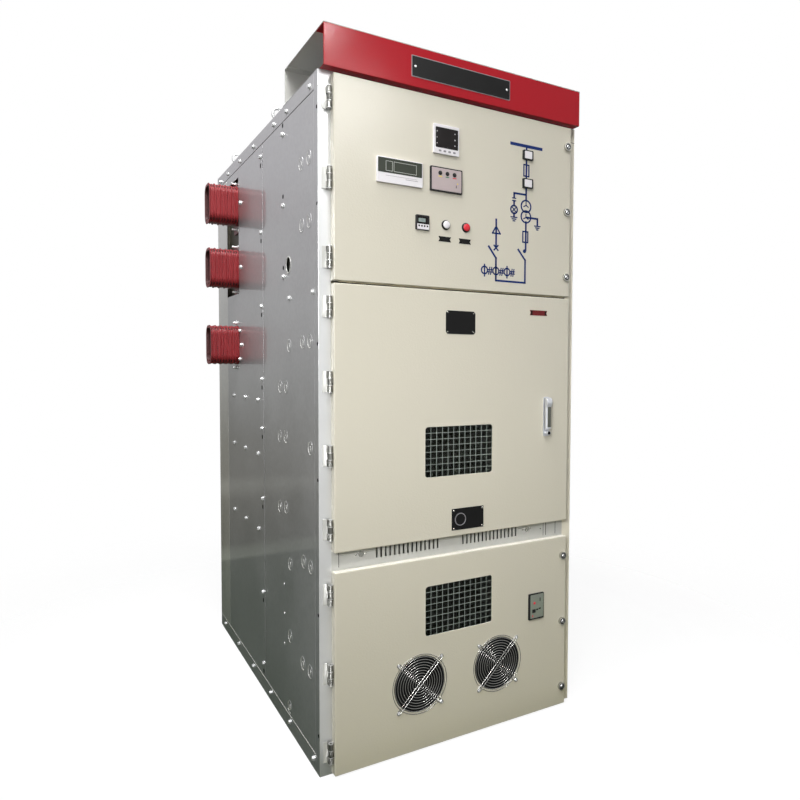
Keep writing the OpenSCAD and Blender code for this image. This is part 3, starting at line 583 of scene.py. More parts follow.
RAIL_BOLTS = (-675, -423, -263, 38, 273, 512, 674)
RAIL_UP = 2171
BASE_BOLTS = (-692, -429, -175, 99, 366, 649)
BASE_UP = 35
SEAM_BOLTS = (2104, 1815, 1529, 1245, 1051, 773, 399, 112)
SEAM_AT = -70
SHELF_BOLTS = (2105, 1860, 1612)
SHELF_AT = -375
FLOOR_BOLTS = ((-445, 1532), (-700, 1533))
REAR_ROWS = (1161, 945, 640)
REAR_BOLTS = (-5, 210, 425)
POST_HOLES = (2090, 1799, 1370, 946, 519, 131)
POST_HOLE_AT = -742
POST_HOLE_R = 6
SEAM_HOLE = (14, 17, 5)
SEAM_HOLE_DOWN = 33
SHELF_HOLE_R = 8
SHELF_HOLE_UP = 32
KNOCK_OUTS = ((-582, 1956), (-663, 1956), (-587, 1757), (-665, 1759), (-440, 1369), (-591, 1379),
              (-667, 1379), (-326, 1224), (-399, 1225), (-667, 1037), (-317, 1044), (-393, 1049),
              (-315, 787), (-391, 797), (-440, 605), (-594, 652), (-667, 652), (-433, 345),
              (-580, 304), (-658, 306), (-425, 87))
KNOCK_OUT_R = 23
KNOCK_OUT_WIRE = (-0.9, 1.6)
HIGHLIGHT_ARC_WIRE = (-0.5, 1.4)
KNOCK_OUT_SIDES = 6
# Arcs on one side of each knock-out's outer and inner rings, in the lighter dull zinc, are a painted
# highlight of the pressed rings.
HIGHLIGHT_ARCS = ((0, 0, KNOCK_OUT_R - 2, -120, 70, 14), (2, -2, 9, 100, 260, 8))
RIVETS = ((-365, 513), (-365, 406), (-365, 296))
SIDE_BOLT = 7.2
HOLE_DEPTH = (-0.4, 0.25)
for tag, plane in (("left", LEFT), ("right", RIGHT)):
    bolts = Piece(tag + "_bolts")
    holes = Piece(tag + "_holes")
    dishes = Piece(tag + "_knock_outs")
    highlight_strokes = Piece(tag + "_knock_out_painted_highlights")
    spots = [(y, RAIL_UP) for y in RAIL_BOLTS] + [(y, BASE_UP) for y in BASE_BOLTS]
    spots += [(SEAM_AT, z) for z in SEAM_BOLTS] + [(SHELF_AT, z) for z in SHELF_BOLTS] + list(FLOOR_BOLTS)
    spots += [(y, z) for y in REAR_BOLTS for z in REAR_ROWS]
    for y, z in spots:
        hex_bolt(bolts, plane, y, z, SIDE_BOLT)
    for y, z in RIVETS:
        bolts.turned(plane, y, z, dome(5.5, 2.4))
    for z in SEAM_BOLTS:
        holes.prism(plane, oblong(SEAM_AT, z - SEAM_HOLE_DOWN, *SEAM_HOLE), *HOLE_DEPTH)
    for z in SHELF_BOLTS:
        holes.turned(plane, SHELF_AT, z + SHELF_HOLE_UP, [(SHELF_HOLE_R, w) for w in HOLE_DEPTH], 16)
    for z in POST_HOLES:
        holes.turned(plane, POST_HOLE_AT, z, [(POST_HOLE_R, w) for w in HOLE_DEPTH], 16)
    for y, z in KNOCK_OUTS:
        dishes.wire(plane, arc(y, z, KNOCK_OUT_R, 0, 360, 28), *KNOCK_OUT_WIRE, closed=True, sides=KNOCK_OUT_SIDES)
        for across, up, *curve in HIGHLIGHT_ARCS:
            highlight_strokes.wire(plane, arc(y + across, z + up, *curve), *HIGHLIGHT_ARC_WIRE, sides=KNOCK_OUT_SIDES)
    bolts.made(BRIGHT, "cabinet", "bright_zinc")
    # The holes are black discs and squares on the sheet, which paint the shade inside them.
    holes.made(BLACK, "cabinet", "dark_plastic")
    dishes.made(ZINC, "cabinet", "zinc_sheet")
    # The arcs take the lighter dull zinc: a painted highlight.
    highlight_strokes.made(DULL, "cabinet", "zinc_sheet")

SHEET_FROM, SHEET_TO = 60, 2145
LINE_AT = -100
LINE_W = 1.6
LINE_DEPTH = (-0.3, 0.2)
LAP_AT = -96
LAP_W = 2.2
FOLD_DEPTH = (-0.3, 0.8)
STRIP_FROM, STRIP_TO = 547, 748
STRIP_MIDDLE, STRIP_HIGH = 1102, 2084
STRIP_DEPTH = (-0.3, 0.25)
EDGE_FROM, EDGE_TO = -708, 746
EDGE_UP = 57
EDGE_W = 3.0
POST_AT = 480
POST_LINE = 37
POST_TOP = 2150
CABLE_HOLE = (-435, 1647)
CABLE_RING = (28.4, 5.0, -1.5, 1.2)
seams = Piece("side_seams")
laps = Piece("side_laps")
strips = Piece("rear_edge_strips")
edges = Piece("side_fold_highlights")
for plane in (LEFT, RIGHT):
    seams.bar(plane, (LINE_AT, SHEET_FROM), (LINE_AT, SHEET_TO), LINE_W, *LINE_DEPTH)
    laps.bar(plane, (LAP_AT, SHEET_FROM), (LAP_AT, SHEET_TO), LAP_W, *FOLD_DEPTH)
    outline = oblong((STRIP_FROM + STRIP_TO) / 2, STRIP_MIDDLE, STRIP_TO - STRIP_FROM, STRIP_HIGH, 1)
    strips.prism(plane, outline, *STRIP_DEPTH)
    edges.bar(plane, (EDGE_FROM, EDGE_UP), (EDGE_TO, EDGE_UP), EDGE_W, *FOLD_DEPTH)
for at in (-POST_AT, POST_AT):
    seams.bar(POST, (at - POST_LINE / 2, POST_TOP), (at + POST_LINE / 2, POST_TOP), LINE_W, *LINE_DEPTH)
edges.ring(LEFT, *CABLE_HOLE, *CABLE_RING)
seams.made(BLACK, "cabinet", "dark_plastic")
laps.made(ZINC, "cabinet", "zinc_sheet", edge=0.3)
strips.made(PALE_ZINC, "cabinet", "zinc_sheet")
# The line along the sheets' low edge and the ring round the cable hole are low folds in the lighter dull
# zinc, which paints the highlight along them.
edges.made(DULL, "cabinet", "zinc_sheet", edge=0.3)

FLANGE_FOOT = {"upper": -12, "middle": -12, "lower": 0}
FLANGE_BOLTS = ((-70, 62), (70, 62), (-70, -62), (70, -62))
FLANGE_BOLT = 6.5
SIDE_STUD = -93
STUD_UP = 99
STUD_R = 5
STUD_OUT = 16
STUD_BOLT = 8
bushing_bolts = Piece("bushing_bolts")
for tag, foot in FLANGE_FOOT.items():
    y, z = side_middle(tag + "_bushing")
    for across, up in FLANGE_BOLTS:
        hex_bolt(bushing_bolts, LEFT, y + across, z + up, FLANGE_BOLT, foot)
    hex_bolt(bushing_bolts, LEFT, y + SIDE_STUD, z, STUD_BOLT)
    stud = [(STUD_R, foot), (STUD_R, STUD_OUT - 2), (STUD_R - 1, STUD_OUT)]
    for up in (-STUD_UP, STUD_UP):
        bushing_bolts.turned(LEFT, y, z + up, stud, 14)
        hex_bolt(bushing_bolts, LEFT, y, z + up, STUD_BOLT, foot)
bushing_bolts.made(BRIGHT, "cabinet", "bright_zinc")

COVER_BOLT = 7
COVER_COLUMNS = (-475, 0, 475)
COLUMN_BOLTS = (40, 290, 540, 790, 1040, 1290, 1510, 1580, 1800, 2000, 2170)
COVER_ROWS = (25, 1525, 1565, 2178)
ROW_BOLTS = (-320, -160, 160, 320)
ROOF_COLUMNS = (-440, 440)
ROOF_BOLTS = (-350, -180, 0, 180, 350, 520, 690)
spots = [(REAR, x, z) for x in COVER_COLUMNS for z in COLUMN_BOLTS]
spots += [(REAR, x, z) for x in ROW_BOLTS for z in COVER_ROWS]
spots += [(ROOF, x, y) for y in ROOF_BOLTS for x in ROOF_COLUMNS]
covers = Piece("rear_bolts")
for plane, across, up in spots:
    hex_bolt(covers, plane, across, up, COVER_BOLT)
covers.made(BRIGHT, "cabinet", "bright_zinc")

TOP = side(X, Y, Z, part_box("rear_posts")[1])
POST_W = 40
post_low, post_high = (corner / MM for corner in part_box("rear_posts"))
caps = Piece("post_caps")
for x in (post_low.x + POST_W / 2, post_high.x - POST_W / 2):
    outline = oblong(x, (post_low.y + post_high.y) / 2, POST_W - 1, post_high.y - post_low.y - 1, 2)
    caps.prism(TOP, outline, -2, 1.2)
caps.made(ZINC, "cabinet", "zinc_sheet", edge=0.4)


# Hinges and the vent strip

HINGES = {"low_door": (77, 330.5, 584), "middle_door": (790, 1021.7, 1253.3, 1485),
          "top_door": (1637, 1877.5, 2118)}
PIN = side(X, -Y, Z, Vector((0, 0, 0)))
PIN_AT = (-469, 767.5)
WASHER_RISES = (-33, -11, 11, 33)
WASHER_T = 1.8
WASHER_RING = (6.6, 1.8)
washers = Piece("hinge_washers")
for heights in HINGES.values():
    for z in heights:
        for rise in WASHER_RISES:
            low, high = z + rise - WASHER_T / 2, z + rise + WASHER_T / 2
            washers.ring(PIN, *PIN_AT, *WASHER_RING, low, high, 20)
washers.made(BRIGHT, "cabinet", "bright_zinc")

VENT_BOLTS = (-362, 294)
VENT_UP = 696
VENT_BOLT = 7
VENT_SCREWS = (-17, 17)
VENT_LINES = ((-436, 1.6), (371, 1.6), (383, 2.4), (428, 2.0))
VENT_FROM, VENT_TO = 664, 716
VENT_HOLES = ((358, 690), (358, 712))
VENT_HOLE_R = 2.4
vent_fixings = Piece("vent_fixings")
for x in VENT_BOLTS:
    hex_bolt(vent_fixings, VENT, x, VENT_UP, VENT_BOLT)
    for across in VENT_SCREWS:
        vent_fixings.turned(VENT, x + across, VENT_UP, dome(3.5, 2), 14)
vent_fixings.made(GUARD, "cabinet", "bright_zinc")
vent_seams = Piece("vent_seams")
for x, width in VENT_LINES:
    vent_seams.bar(VENT, (x, VENT_FROM), (x, VENT_TO), width, *STRIP_DEPTH)
# The two holes are black discs that paint the shade inside them.
for x, z in VENT_HOLES:
    vent_seams.turned(VENT, x, z, [(VENT_HOLE_R, w) for w in STRIP_DEPTH], 12)
vent_seams.made(BLACK, "cabinet", "dark_plastic")


# Plates, instruments and marks: small flat prisms

def small_piece(name, material, plane, shapes, body="top_door", edge=0.0, slot="dark_plastic"):
    """A piece of several flat prisms: outline, low and high of each."""
    piece = Piece(name)
    for outline, low, high in shapes:
        piece.prism(plane, outline, low, high)
    piece.made(material, body, slot, edge=edge)


LINTEL_PLATE = (-12.5, 2266)
LINTEL_SCREWS = (-189, 164)
small_piece("lintel_plate_border", GREY, LINTEL,
            [(oblong(*LINTEL_PLATE, 381, 68, 2), -0.2, 1.2)], "cabinet", 0.4, "bright_zinc")
small_piece("lintel_plate", PLATE, LINTEL, [(oblong(*LINTEL_PLATE, 376, 63, 1.5), 0.2, 1.7)], "cabinet", 0.4)
lintel_screws = Piece("lintel_screws")
for x in LINTEL_SCREWS:
    lintel_screws.turned(LINTEL, x, LINTEL_PLATE[1], dome(4, 2, 1.6), 14)
lintel_screws.made(BRIGHT, "cabinet", "bright_zinc")


# Instruments of the top door

PANE = (-1.6, 0.2)
PRINT = (0.1, 0.4)
FLAT_PRINT = (-0.2, 0.15)
u, v = middle("panel_meter")
METER = front_of("panel_meter")
small_piece("meter_screen", SCREEN, METER, [(oblong(u + 1, v + 5, 85, 66, 2), *PANE)])
small_piece("meter_marks", WHITE, METER,
            [(oblong(u + 1 + a, v + 5 + b, 2.6, 3.4), *PRINT) for a in (-37, 30) for b in (19, -1, -20)],
            slot="white_plastic")
small_piece("meter_keys", GREY, METER,
            [(oblong(u + 2 + a, v - 38, 10, 6, 2.5), -0.2, 0.6) for a in (-27, -9, 9, 27)], edge=0.2)

u, v = middle("relay")
RELAY = front_of("relay")
small_piece("relay_screen", DISPLAY, RELAY, [(oblong(u, v + 14.5, 154, 46, 1.5), *PANE)])
RELAY_FRAMES = ((-39, 22), (17, 79))
relay_marks = Piece("relay_frames")
for across, width in RELAY_FRAMES:
    relay_marks.frame(RELAY, u + across, v + 13, width, 30, 1.5, *PRINT)
relay_marks.made(SILVER, "top_door", "white_plastic")
small_piece("relay_line", GREY, RELAY,
            [(oblong(u + 4, v - 17, 110, 0.9), *FLAT_PRINT), (oblong(u + 40, v - 22, 44, 1.4), *FLAT_PRINT)])

u, v = middle("voltage_indicator")
VOLTS = front_of("voltage_indicator")
small_piece("indicator_face", TAUPE, VOLTS, [(oblong(u, v, 112, 72, 2), -1.6, 0.3)], edge=0.3)
PHASES = ((-25, AMBER, "amber"), (2, GREEN, "green"), (29, SCARLET, "red"))
PHASE_LAMP = [(7.2, -0.5), (7.2, 1.2), (5.6, 1.6)] + dome(4.4, 2.2, 1.6)
lamps = Piece("indicator_lamps")
for across, _, _ in PHASES:
    lamps.turned(VOLTS, u + across, v + 20, PHASE_LAMP)
lamps.prism(VOLTS, oblong(u + 36, v - 18, 2.2, 9), -0.5, 0.6)
lamps.made(DARK, "top_door", "dark_plastic")
for across, material, word in PHASES:
    small_piece("indicator_dash_" + word, material, VOLTS,
                [(oblong(u + across, v + 9, 14, 3, 0.6), -0.5, 0.5)])
small_piece("indicator_dot", AMBER, VOLTS, [(oblong(u + 41, v - 8, 4.4, 4.4, 2.1), -0.5, 0.8)])

u, v = middle("temperature_controller")
HEAT = front_of("temperature_controller")
small_piece("controller_screen", SCREEN, HEAT, [(oblong(u, v + 7, 37.4, 23.4, 1), -1.6, -0.6)])
small_piece("controller_lcd", PALE, HEAT, [(oblong(u - 3, v + 7, 25, 12, 1), -0.7, -0.3)])
small_piece("controller_strip", WHITE, HEAT,
            [(oblong(u + 1, v - 14, 43, 17, 1), *LINE_DEPTH)], slot="white_plastic")
small_piece("controller_keys", DARK, HEAT,
            [(oblong(u + 1 + a, v - 11.5, 5.5, 6, 1.2), 0.1, 0.9) for a in (-15, -5, 5, 15)])

BUTTON_BASE = ((11, -45), (11, -0.2), (16.4, -0.2), (16.4, 1.6), (15.6, 2.6), (14.0, 6.4), (13.4, 7.0),
               (9, 7.0))
BUTTON_CAP = [(12.6, 5), (12.6, 7.6)] + dome(12.3, 2.4, 7.8)
BUTTONS = (("white_button", WHITE, "white_plastic"), ("red_button", LENS, "red_plastic"))
for node, material, slot in BUTTONS:
    u, v = middle(node)
    base = Piece(node + "_ring")
    base.turned(DOOR, u, v, BUTTON_BASE, 32)
    base.made(DARK, "top_door", "dark_plastic", (node,))
    cap = Piece(node + "_cap")
    cap.turned(DOOR, u, v, BUTTON_CAP, 32)
    cap.made(material, "top_door", slot)


def tag_outline(u, v, width, height, bite):
    """A label whose short ends are cut in to a point."""
    a, b = width / 2, height / 2
    right = [(u + a, v - b), (u + a - bite, v), (u + a, v + b)]
    left = [(u - a, v + b), (u - a + bite, v), (u - a, v - b)]
    return right + left


TAG_DEPTH = (-0.2, 1.0)
TAGS = ((-75.5, 1727), (2, 1727))
small_piece("button_tags", PLATE, DOOR, [(tag_outline(*at, 48, 17, 5), *TAG_DEPTH) for at in TAGS])

FLAGS = front_of("position_indicators")
FLAGS_AT = ((260, 2058), (260, 1958))
small_piece("position_faces", WHITE, FLAGS,
            [(oblong(*at, 31, 26, 2), -1.6, 0.7) for at in FLAGS_AT], edge=0.4, slot="white_plastic")


# Mimic diagram: strips of blue film

FILM = (-0.1, 0.45)
BUSBAR = 11
LINE = 7.0
HOOP = 5.6
THIN = 5.2
SLASH = 4.2
FINE = 4
DASH = 3.8
FUSE_W = 22
EARTH_SHARES = (1, 0.62, 0.28)
EARTH_STEP = 6.5
mimic = Piece("mimic_lines")


def line(*points, width=LINE):
    """Straight strips from point to point."""
    for start, end in zip(points, points[1:]):
        mimic.bar(DOOR, start, end, width, *FILM)


def hoop(u, v, radius, width=HOOP):
    """A ring of film."""
    mimic.ring(DOOR, u, v, radius, width, *FILM)


def earth(u, v, width):
    """Three bars, each shorter than the one over it."""
    for i, share in enumerate(EARTH_SHARES):
        reach, up = width * share / 2, v - EARTH_STEP * i
        line((u - reach, up), (u + reach, up), width=FINE)


def star(u, v, size):
    """Three short strips that meet in the middle of a winding."""
    for end in arc(u, v, size, 90, 450, 3):
        line((u, v), end, width=FINE)


def fuse(u, v, height):
    """An upright box."""
    mimic.frame(DOOR, u, v, FUSE_W, height, THIN, *FILM)


MAIN = 256
SIDE = 129
EARTHED = 204
line((191, 2090), (321, 2090), width=BUSBAR)
line((MAIN, 2086), (MAIN, 2076))
line((MAIN, 2040), (MAIN, 1975))
fuse(MAIN, 2004, 40)
line((MAIN, 1940), (MAIN, 1898))
line((MAIN, 1918), (EARTHED, 1918), (EARTHED, 1902))
for v in (1900, 1891):
    line((EARTHED - 7, v), (EARTHED + 7, v), width=FINE)
line((EARTHED, 1890), (EARTHED, 1874))
hoop(EARTHED, 1860, 14)
for s in (-1, 1):
    line((EARTHED - 9, 1860 - 9 * s), (EARTHED + 9, 1860 + 9 * s), width=FINE)
line((EARTHED, 1847), (EARTHED, 1836))
earth(EARTHED, 1833, 26)
hoop(MAIN, 1877, 21)
hoop(MAIN, 1840, 21)
star(MAIN, 1881, 11)
star(MAIN, 1838, 11)
line((258, 1838), (307, 1838), (307, 1816))
earth(307, 1812, 25)
line((MAIN, 1821), (MAIN, 1722))
fuse(MAIN - 2, 1768, 38)
mimic.turned(DOOR, 251, 1717, [(7, w) for w in FILM], 18)
line((224, 1720), (254, 1685), (254, 1605))
line((SIDE, 1816), (SIDE, 1795))
line((SIDE, 1793), (114, 1768), (146, 1768), (SIDE, 1793), width=THIN)
line((SIDE, 1795), (SIDE, 1720))
for s in (-1, 1):
    line((SIDE - 8, 1718 - 8 * s), (SIDE + 8, 1718 + 8 * s), width=THIN)
line((99, 1720), (SIDE, 1682), (SIDE, 1604), (254, 1604))
for u in (82, SIDE, 176):
    hoop(u, 1637, 12.5, THIN)
    line((u, 1656), (u, 1617), width=THIN)
    for s in (0, 8):
        line((u + 22 + s, 1648), (u + 17 + s, 1624), width=SLASH)
    for v in (1632, 1640):
        line((u + 15, v), (u + 32, v), width=DASH)
mimic.made(NAVY, "top_door", "dark_plastic")


# Middle door's plates, handle and crank cover

NAME_AT = (-12, 1451.5)
NAME_SIZE = (116, 79)
NAME_CUT = 7
LABEL_AT = (316.5, 1498.5)
CRANK_AT = (20, 776)
CRANK_SCREWS = (114, 62)
PLUG_AT = (-12, 776)
PLUG_RING = ((19, -0.2), (22, -0.2), (22, 0.6), (20.6, 1.2), (19, 0.6))
small_piece("name_plate", PLATE, DOOR,
            [(oblong(*NAME_AT, *NAME_SIZE, NAME_CUT, 1), -0.2, 1.4)], "middle_door", 0.3)
plate_screws = Piece("plate_screws")
for u, v in oblong(*NAME_AT, NAME_SIZE[0] - 2 * NAME_CUT, NAME_SIZE[1] - 2 * NAME_CUT):
    plate_screws.turned(DOOR, u, v, dome(2.6, 1.4, 1.3), 14)
for u, v in oblong(*CRANK_AT, *CRANK_SCREWS):
    plate_screws.turned(DOOR, u, v, dome(3.4, 1.6, 3.9), 14)
plate_screws.made(GUARD, "middle_door", "bright_zinc")
small_piece("door_label", MAROON, DOOR, [(tag_outline(*LABEL_AT, 79, 19, 4), *TAG_DEPTH)], "middle_door")
small_piece("door_label_ends", PLATE, DOOR,
            [(oblong(LABEL_AT[0] + a, LABEL_AT[1], 7, 17), 0.2, 1.2) for a in (-31, 31)], "middle_door")
plug = Piece("crank_plug_ring")
plug.turned(front_of("crank_cover"), *PLUG_AT, PLUG_RING, 36, loop=True)
plug.made(GREY, "middle_door", "dark_plastic")

LEVER = front_of("handle_lever")
KEY_LOCK = front_of("handle_base")
KEY_AT = (355, 1058)
small_piece("handle_inlay", INLAY, LEVER,
            [(oblong(355, 1116.5, 12.4, 74, 2), -6.3, -4.9),
             (oblong(355.4, 1116.5, 15.2, 75, 2), -5.2, -4.5)], "handle", 0.2)
key = Piece("handle_key_lock")
key.turned(KEY_LOCK, *KEY_AT, [(6.4, -0.4), (6.4, 0.5), (5.2, 0.9)], 24)
key.prism(KEY_LOCK, oblong(*KEY_AT, 1.6, 7), 0.2, 1.2)
key.made(PLATE, "middle_door", "dark_plastic")


# Low door's control module and door locks

u, v = middle("control_module")
MODULE = front_of("control_module")
small_piece("module_face", SAGE, MODULE, [(oblong(u + 2, v + 1, 59, 88, 2), -0.3, 0.5)], "low_door", 0.3)
small_piece("module_keys", DARK, MODULE,
            [(oblong(u - 12, v - 16, 15, 13, 1), 0.3, 1.3), (oblong(u + 3, v - 12, 9, 5, 1), 0.3, 1.1),
             (oblong(u + 15, v - 10, 9, 5, 1), 0.3, 1.1), (oblong(u + 16, v + 24, 4, 13, 1), 0.3, 0.7)],
            "low_door")
small_piece("module_lines", GREY, MODULE,
            [(oblong(u + 2, v + up, 46, 1.6), 0.3, 0.6) for up in (39, 33, -38)], "low_door")
module_led = Piece("module_led")
module_led.turned(MODULE, u - 9, v + 13, dome(5, 2.4, 0.4), 16)
module_led.prism(MODULE, oblong(u - 17, v - 34, 4, 8), 0.3, 0.8)
module_led.made(SCARLET, "low_door", "red_plastic")

LOCK_AT = 440
LOCK_KEY = [(7.4, 2.5), (7.4, 8.0)] + dome(7.2, 2.6, 8.2)
for body in ("top_door", "low_door"):
    keys = Piece(body + "_lock_keys")
    # A black ring round each key and a black bar across it paint the shade in the lock's recess and slot.
    recess_shades = Piece(body + "_lock_slot_shades")
    for z in HINGES[body]:
        keys.turned(DOOR, LOCK_AT, z, LOCK_KEY, 24)
        recess_shades.ring(DOOR, LOCK_AT, z, 9.2, 3.4, 8.6, 9.3, 28)
        recess_shades.bar(DOOR, (LOCK_AT - 4, z - 4), (LOCK_AT + 4, z + 4), 3.4, 8.0, 11.0)
    keys.made(CHROME, body, "chrome")
    recess_shades.made(PLATE, body, "dark_plastic")


# Seals on the backs of the doors

SEAL_W = 7
SEAL_DEPTH = (-29.4, -24.5)
GAP_BARS = ((-0.5, 4.0), (3, 2.0))
GAP_INSET = 24
GAP_DEPTH = (-18, -12)
for name in DOORS:
    low, high = (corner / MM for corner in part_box(name))
    seal = Piece(name + "_seal")
    for at in (low.z + SEAL_W / 2, high.z - SEAL_W / 2):
        seal.bar(DOOR, (low.x + SEAL_W * 1.5, at), (high.x - SEAL_W * 1.5, at), SEAL_W, *SEAL_DEPTH)
    for at in (low.x + SEAL_W / 2, high.x - SEAL_W / 2):
        seal.bar(DOOR, (at, low.z + SEAL_W / 2), (at, high.z - SEAL_W / 2), SEAL_W, *SEAL_DEPTH)
    seal.made(SEAL, name, "cream_paint")
low, high = (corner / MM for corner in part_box("top_door"))
gap_seal = Piece("top_door_gap_seal")
for rise, width in GAP_BARS:
    ends = ((low.x + GAP_INSET, low.z + rise), (high.x - GAP_INSET, low.z + rise))
    gap_seal.bar(DOOR, *ends, width, *GAP_DEPTH)
gap_seal.made(GAP_SEAL, "top_door", "cream_paint")


# Light, floor and camera

def lamp(name, place, target, size, power, length=None):
    """A round area lamp aimed at a target, or a strip lamp if it has a length."""
    data = bpy.data.lights.new(name, "AREA")
    data.shape = "RECTANGLE" if length else "DISK"
    data.size = length or size
    data.size_y = size
    data.energy = power
    item = bpy.data.objects.new(name, data)
    item.location = place
    item.rotation_euler = (Vector(target) - Vector(place)).to_track_quat("-Z", "Y").to_euler()
    bpy.context.scene.collection.objects.link(item)
    return item


def background_rays(tree):
    """1 where the camera sees a surface directly, in a reflection or through glass, else 0."""
    rays = tree.nodes.new("ShaderNodeLightPath").outputs
    total = rays["Is Camera Ray"]
    for name in ("Is Glossy Ray", "Is Transmission Ray"):
        larger = add(tree, "ShaderNodeMath", total, rays[name])
        larger.operation = "MAXIMUM"
        total = larger.outputs[0]
    return total


def empty_material(name):
    """A material with an output and nothing else, its node tree and that output."""
    material = bpy.data.materials.new(name)
    material.use_nodes = True
    material.node_tree.nodes.clear()
    return material, material.node_tree, material.node_tree.nodes.new("ShaderNodeOutputMaterial")


def stage_mesh(name, material, rings, loop=False):
    """A surface of the studio, made of rings of points."""
    data = bpy.data.meshes.new(name)
    mesh = bmesh.new()
    rows = [[mesh.verts.new(point) for point in ring] for ring in rings]
    for near, far in zip(rows, rows[1:]):
        for i in range(len(near) - (0 if loop else 1)):
            j = (i + 1) % len(near)
            mesh.faces.new((near[i], near[j], far[j], far[i]))
    mesh.to_mesh(data)
    mesh.free()
    data.materials.append(material)
    item = bpy.data.objects.new(name, data)
    bpy.context.scene.collection.objects.link(item)
    return item


KEY_SPREAD = math.radians(66)
key_lamp = lamp("key", (-2.1, -3.0, 2.1), (0.1, -0.78, 0.9), 0.9, 11.4)
key_lamp.data.spread = KEY_SPREAD
lamp("ceiling", (-1.4, -3.3, 5.2), (0.0, -0.78, 1.2), 0.4, 170, length=4.4)
lamp("ceiling_side", (-1.0, -0.95, 4.3), (-0.55, -0.2, 1.6), 0.9, 90)
lamp("far_side", (2.7, 2.9, 2.4), (0.3, 0.5, 1.2), 1.6, 75)
GLARES = (("door_glare", (0.386, -2.915, 2.925), 0.5, 6), ("lintel_glare", (0.16, -2.91, 3.37), 0.22, 11))
GLARE_TARGET = (-0.48, -0.78, 2.2)
for name, place, size, power in GLARES:
    glare = lamp(name, place, GLARE_TARGET, size, power)
    glare.visible_diffuse = False

AMBIENT = 0.08
world = bpy.data.worlds.new("white_room")
world.use_nodes = True
tree = world.node_tree
tree.nodes.clear()
level = add(tree, "ShaderNodeMapRange", Value=background_rays(tree), To_Min=AMBIENT, To_Max=1.0)
room = add(tree, "ShaderNodeBackground", Color=(1, 1, 1, 1), Strength=level.outputs["Result"])
add(tree, "ShaderNodeOutputWorld", Surface=room.outputs[0])
bpy.context.scene.world = world

FLOOR_REACH = 6.0
FLOOR_DOWN = -0.0005
FLOOR_GLOW = 0.86
FLOOR_TINT = (0.17, 0.167, 0.06)
FLOOR_CLOUD = (0.97, 1.03)
FADE_FROM, FADE_TO = 1.3, 3.0
COLOUR_A, COLOUR_B, COLOUR_OUT = 6, 7, 2
floor_skin, tree, out = empty_material("floor_pale")
place = tree.nodes.new("ShaderNodeTexCoord").outputs["Object"]
cloud = add(tree, "ShaderNodeTexNoise", Vector=place, Scale=8.0).outputs["Fac"]
pale = add(tree, "ShaderNodeValToRGB", Fac=cloud)
for stop, gain in zip(pale.color_ramp.elements, FLOOR_CLOUD):
    stop.color = [c * gain for c in FLOOR_TINT] + [1]
plain = add(tree, "ShaderNodeRGBToBW", Color=pale.outputs["Color"])
seen = tree.nodes.new("ShaderNodeMix")
seen.data_type = "RGBA"
tree.links.new(background_rays(tree), seen.inputs["Factor"])
tree.links.new(pale.outputs["Color"], seen.inputs[COLOUR_A])
tree.links.new(plain.outputs[0], seen.inputs[COLOUR_B])
matt = add(tree, "ShaderNodeBsdfDiffuse", Color=seen.outputs[COLOUR_OUT])
shine = add(tree, "ShaderNodeMath", background_rays(tree), FLOOR_GLOW)
shine.operation = "MULTIPLY"
glow = add(tree, "ShaderNodeEmission", Strength=shine.outputs[0])
both = add(tree, "ShaderNodeAddShader", matt.outputs[0], glow.outputs[0])
away = add(tree, "ShaderNodeVectorMath", Vector=place)
away.operation = "LENGTH"
fade = add(tree, "ShaderNodeMapRange", Value=away.outputs["Value"], From_Min=FADE_FROM, From_Max=FADE_TO)
fade.interpolation_type = "SMOOTHSTEP"
clear = add(tree, "ShaderNodeBsdfTransparent")
mixed = add(tree, "ShaderNodeMixShader", fade.outputs["Result"], both.outputs[0], clear.outputs[0])
tree.links.new(mixed.outputs[0], out.inputs["Surface"])


def circle(radius, height, start=0.0, end=360.0):
    """Points of a circle round the room's middle, or of a part of one, at a height."""
    return [(x, y, height) for x, y in arc(0, 0, radius, start, end, 64)]


stage_mesh("floor", floor_skin, [circle(0.01, FLOOR_DOWN), circle(FLOOR_REACH, FLOOR_DOWN)], loop=True)

# Walls that graduate upward and a dark floor with pale bands, seen in the metal only
ROOM_REACH = 5.0
ROOM_TOP = 5.0
WALL_SHADES = ((0.0, tint(146, 146, 137)), (0.1, tint(112, 110, 102)), (0.5, tint(118, 117, 110)),
               (1.3, tint(172, 173, 172)), (3.4, tint(214, 212, 216)), (5.0, tint(218, 216, 220)))
BACK_SHADES = ((-0.9, tint(62, 74, 62)), (1.85, tint(64, 74, 63)), (1.93, tint(132, 138, 126)),
               (2.16, tint(112, 116, 105)), (2.28, tint(74, 74, 65)), (3.9, tint(98, 96, 87)),
               (4.6, tint(146, 146, 137)), (5.0, tint(146, 146, 137)))
FRONT_SHADES = ((0, tint(184, 184, 180)), (1, tint(202, 202, 198)))


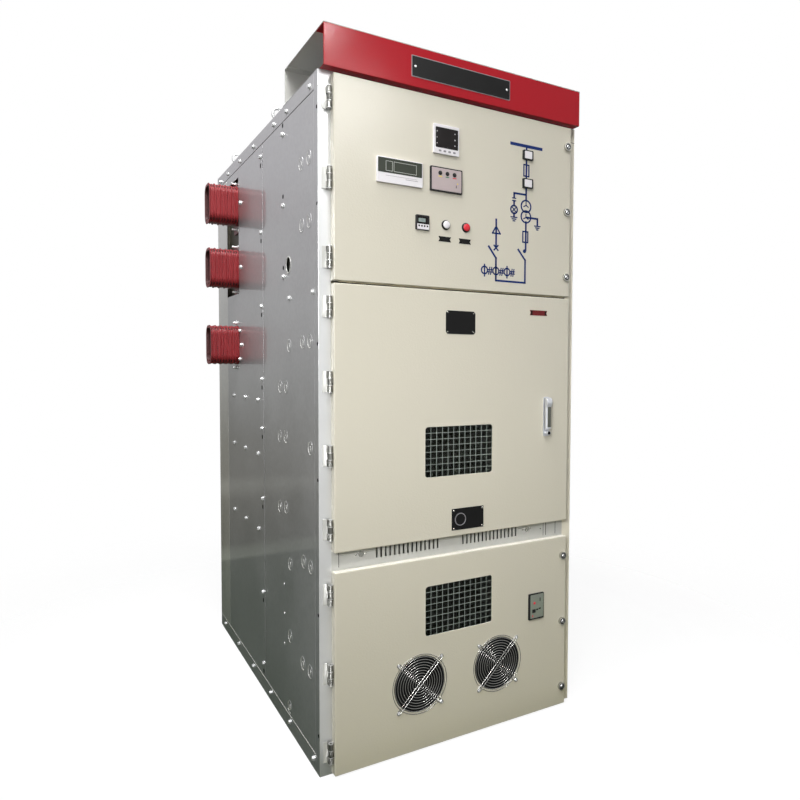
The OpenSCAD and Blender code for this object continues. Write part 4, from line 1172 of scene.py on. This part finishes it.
def shaded(name, shades, axis=None):
    """Glowing material whose colour goes through the shades along an axis of the room, or else in clouds."""
    material, tree, out = empty_material(name)
    first, last = shades[0][0], shades[-1][0]
    if axis:
        place = tree.nodes.new("ShaderNodeTexCoord").outputs["Object"]
        along = add(tree, "ShaderNodeSeparateXYZ", Vector=place).outputs[axis]
        share = add(tree, "ShaderNodeMapRange", Value=along, From_Min=first, From_Max=last).outputs["Result"]
    else:
        share = add(tree, "ShaderNodeTexNoise", Scale=2.0).outputs["Fac"]
    ramp = add(tree, "ShaderNodeValToRGB", Fac=share)
    for at, _ in shades[1:-1]:
        ramp.color_ramp.elements.new((at - first) / (last - first))
    for stop, (at, colour) in zip(ramp.color_ramp.elements, shades):
        stop.position = (at - first) / (last - first)
        stop.color = list(colour) + [1]
    light = add(tree, "ShaderNodeEmission", Color=ramp.outputs["Color"])
    tree.links.new(light.outputs[0], out.inputs["Surface"])
    return material


WALL_ARC = (-20, 200)
walls = stage_mesh("room_walls", shaded("wall_shades", WALL_SHADES, "Z"),
                   [circle(ROOM_REACH, height, *WALL_ARC) for height in (0, ROOM_TOP)])
MAT_SPLIT = -0.9


def strip(near, far):
    """Rings of a floor strip as wide as the room."""
    return [[(-ROOM_REACH, y, 0), (ROOM_REACH, y, 0)] for y in (near, far)]


mat = stage_mesh("room_mat", shaded("back_shades", BACK_SHADES, "Y"), strip(MAT_SPLIT, ROOM_REACH))
front_mat = stage_mesh("front_mat", shaded("front_shade", FRONT_SHADES), strip(-ROOM_REACH, MAT_SPLIT))
for card in (walls, mat, front_mat):
    card.visible_camera = False
    card.visible_diffuse = False
    card.visible_transmission = False
    card.visible_shadow = False

SENSOR = 36
FOCAL = 685.6
PICTURE = 800
CENTRE = (484.5, 392.7)
EYE = (-1.1879, -2.8127, 1.3142)
YAW, PITCH, ROLL = (math.radians(a) for a in (32.070, -2.476, 0.409))
ahead = Vector((math.sin(YAW) * math.cos(PITCH), math.cos(YAW) * math.cos(PITCH), math.sin(PITCH)))
level_right = Vector((math.cos(YAW), -math.sin(YAW), 0))
level_up = level_right.cross(ahead)
right = level_right * math.cos(ROLL) + level_up * math.sin(ROLL)
upward = level_up * math.cos(ROLL) - level_right * math.sin(ROLL)
lens = bpy.data.cameras.new("camera")
lens.sensor_width = SENSOR
lens.lens = FOCAL / PICTURE * SENSOR
lens.shift_x = (PICTURE / 2 - CENTRE[0]) / PICTURE
lens.shift_y = (CENTRE[1] - PICTURE / 2) / PICTURE
camera = bpy.data.objects.new("camera", lens)
camera.matrix_world = Matrix.Translation(EYE) @ Matrix((right, upward, -ahead)).transposed().to_4x4()
bpy.context.scene.collection.objects.link(camera)
bpy.context.scene.camera = camera
bpy.context.scene.view_settings.view_transform = "Standard"
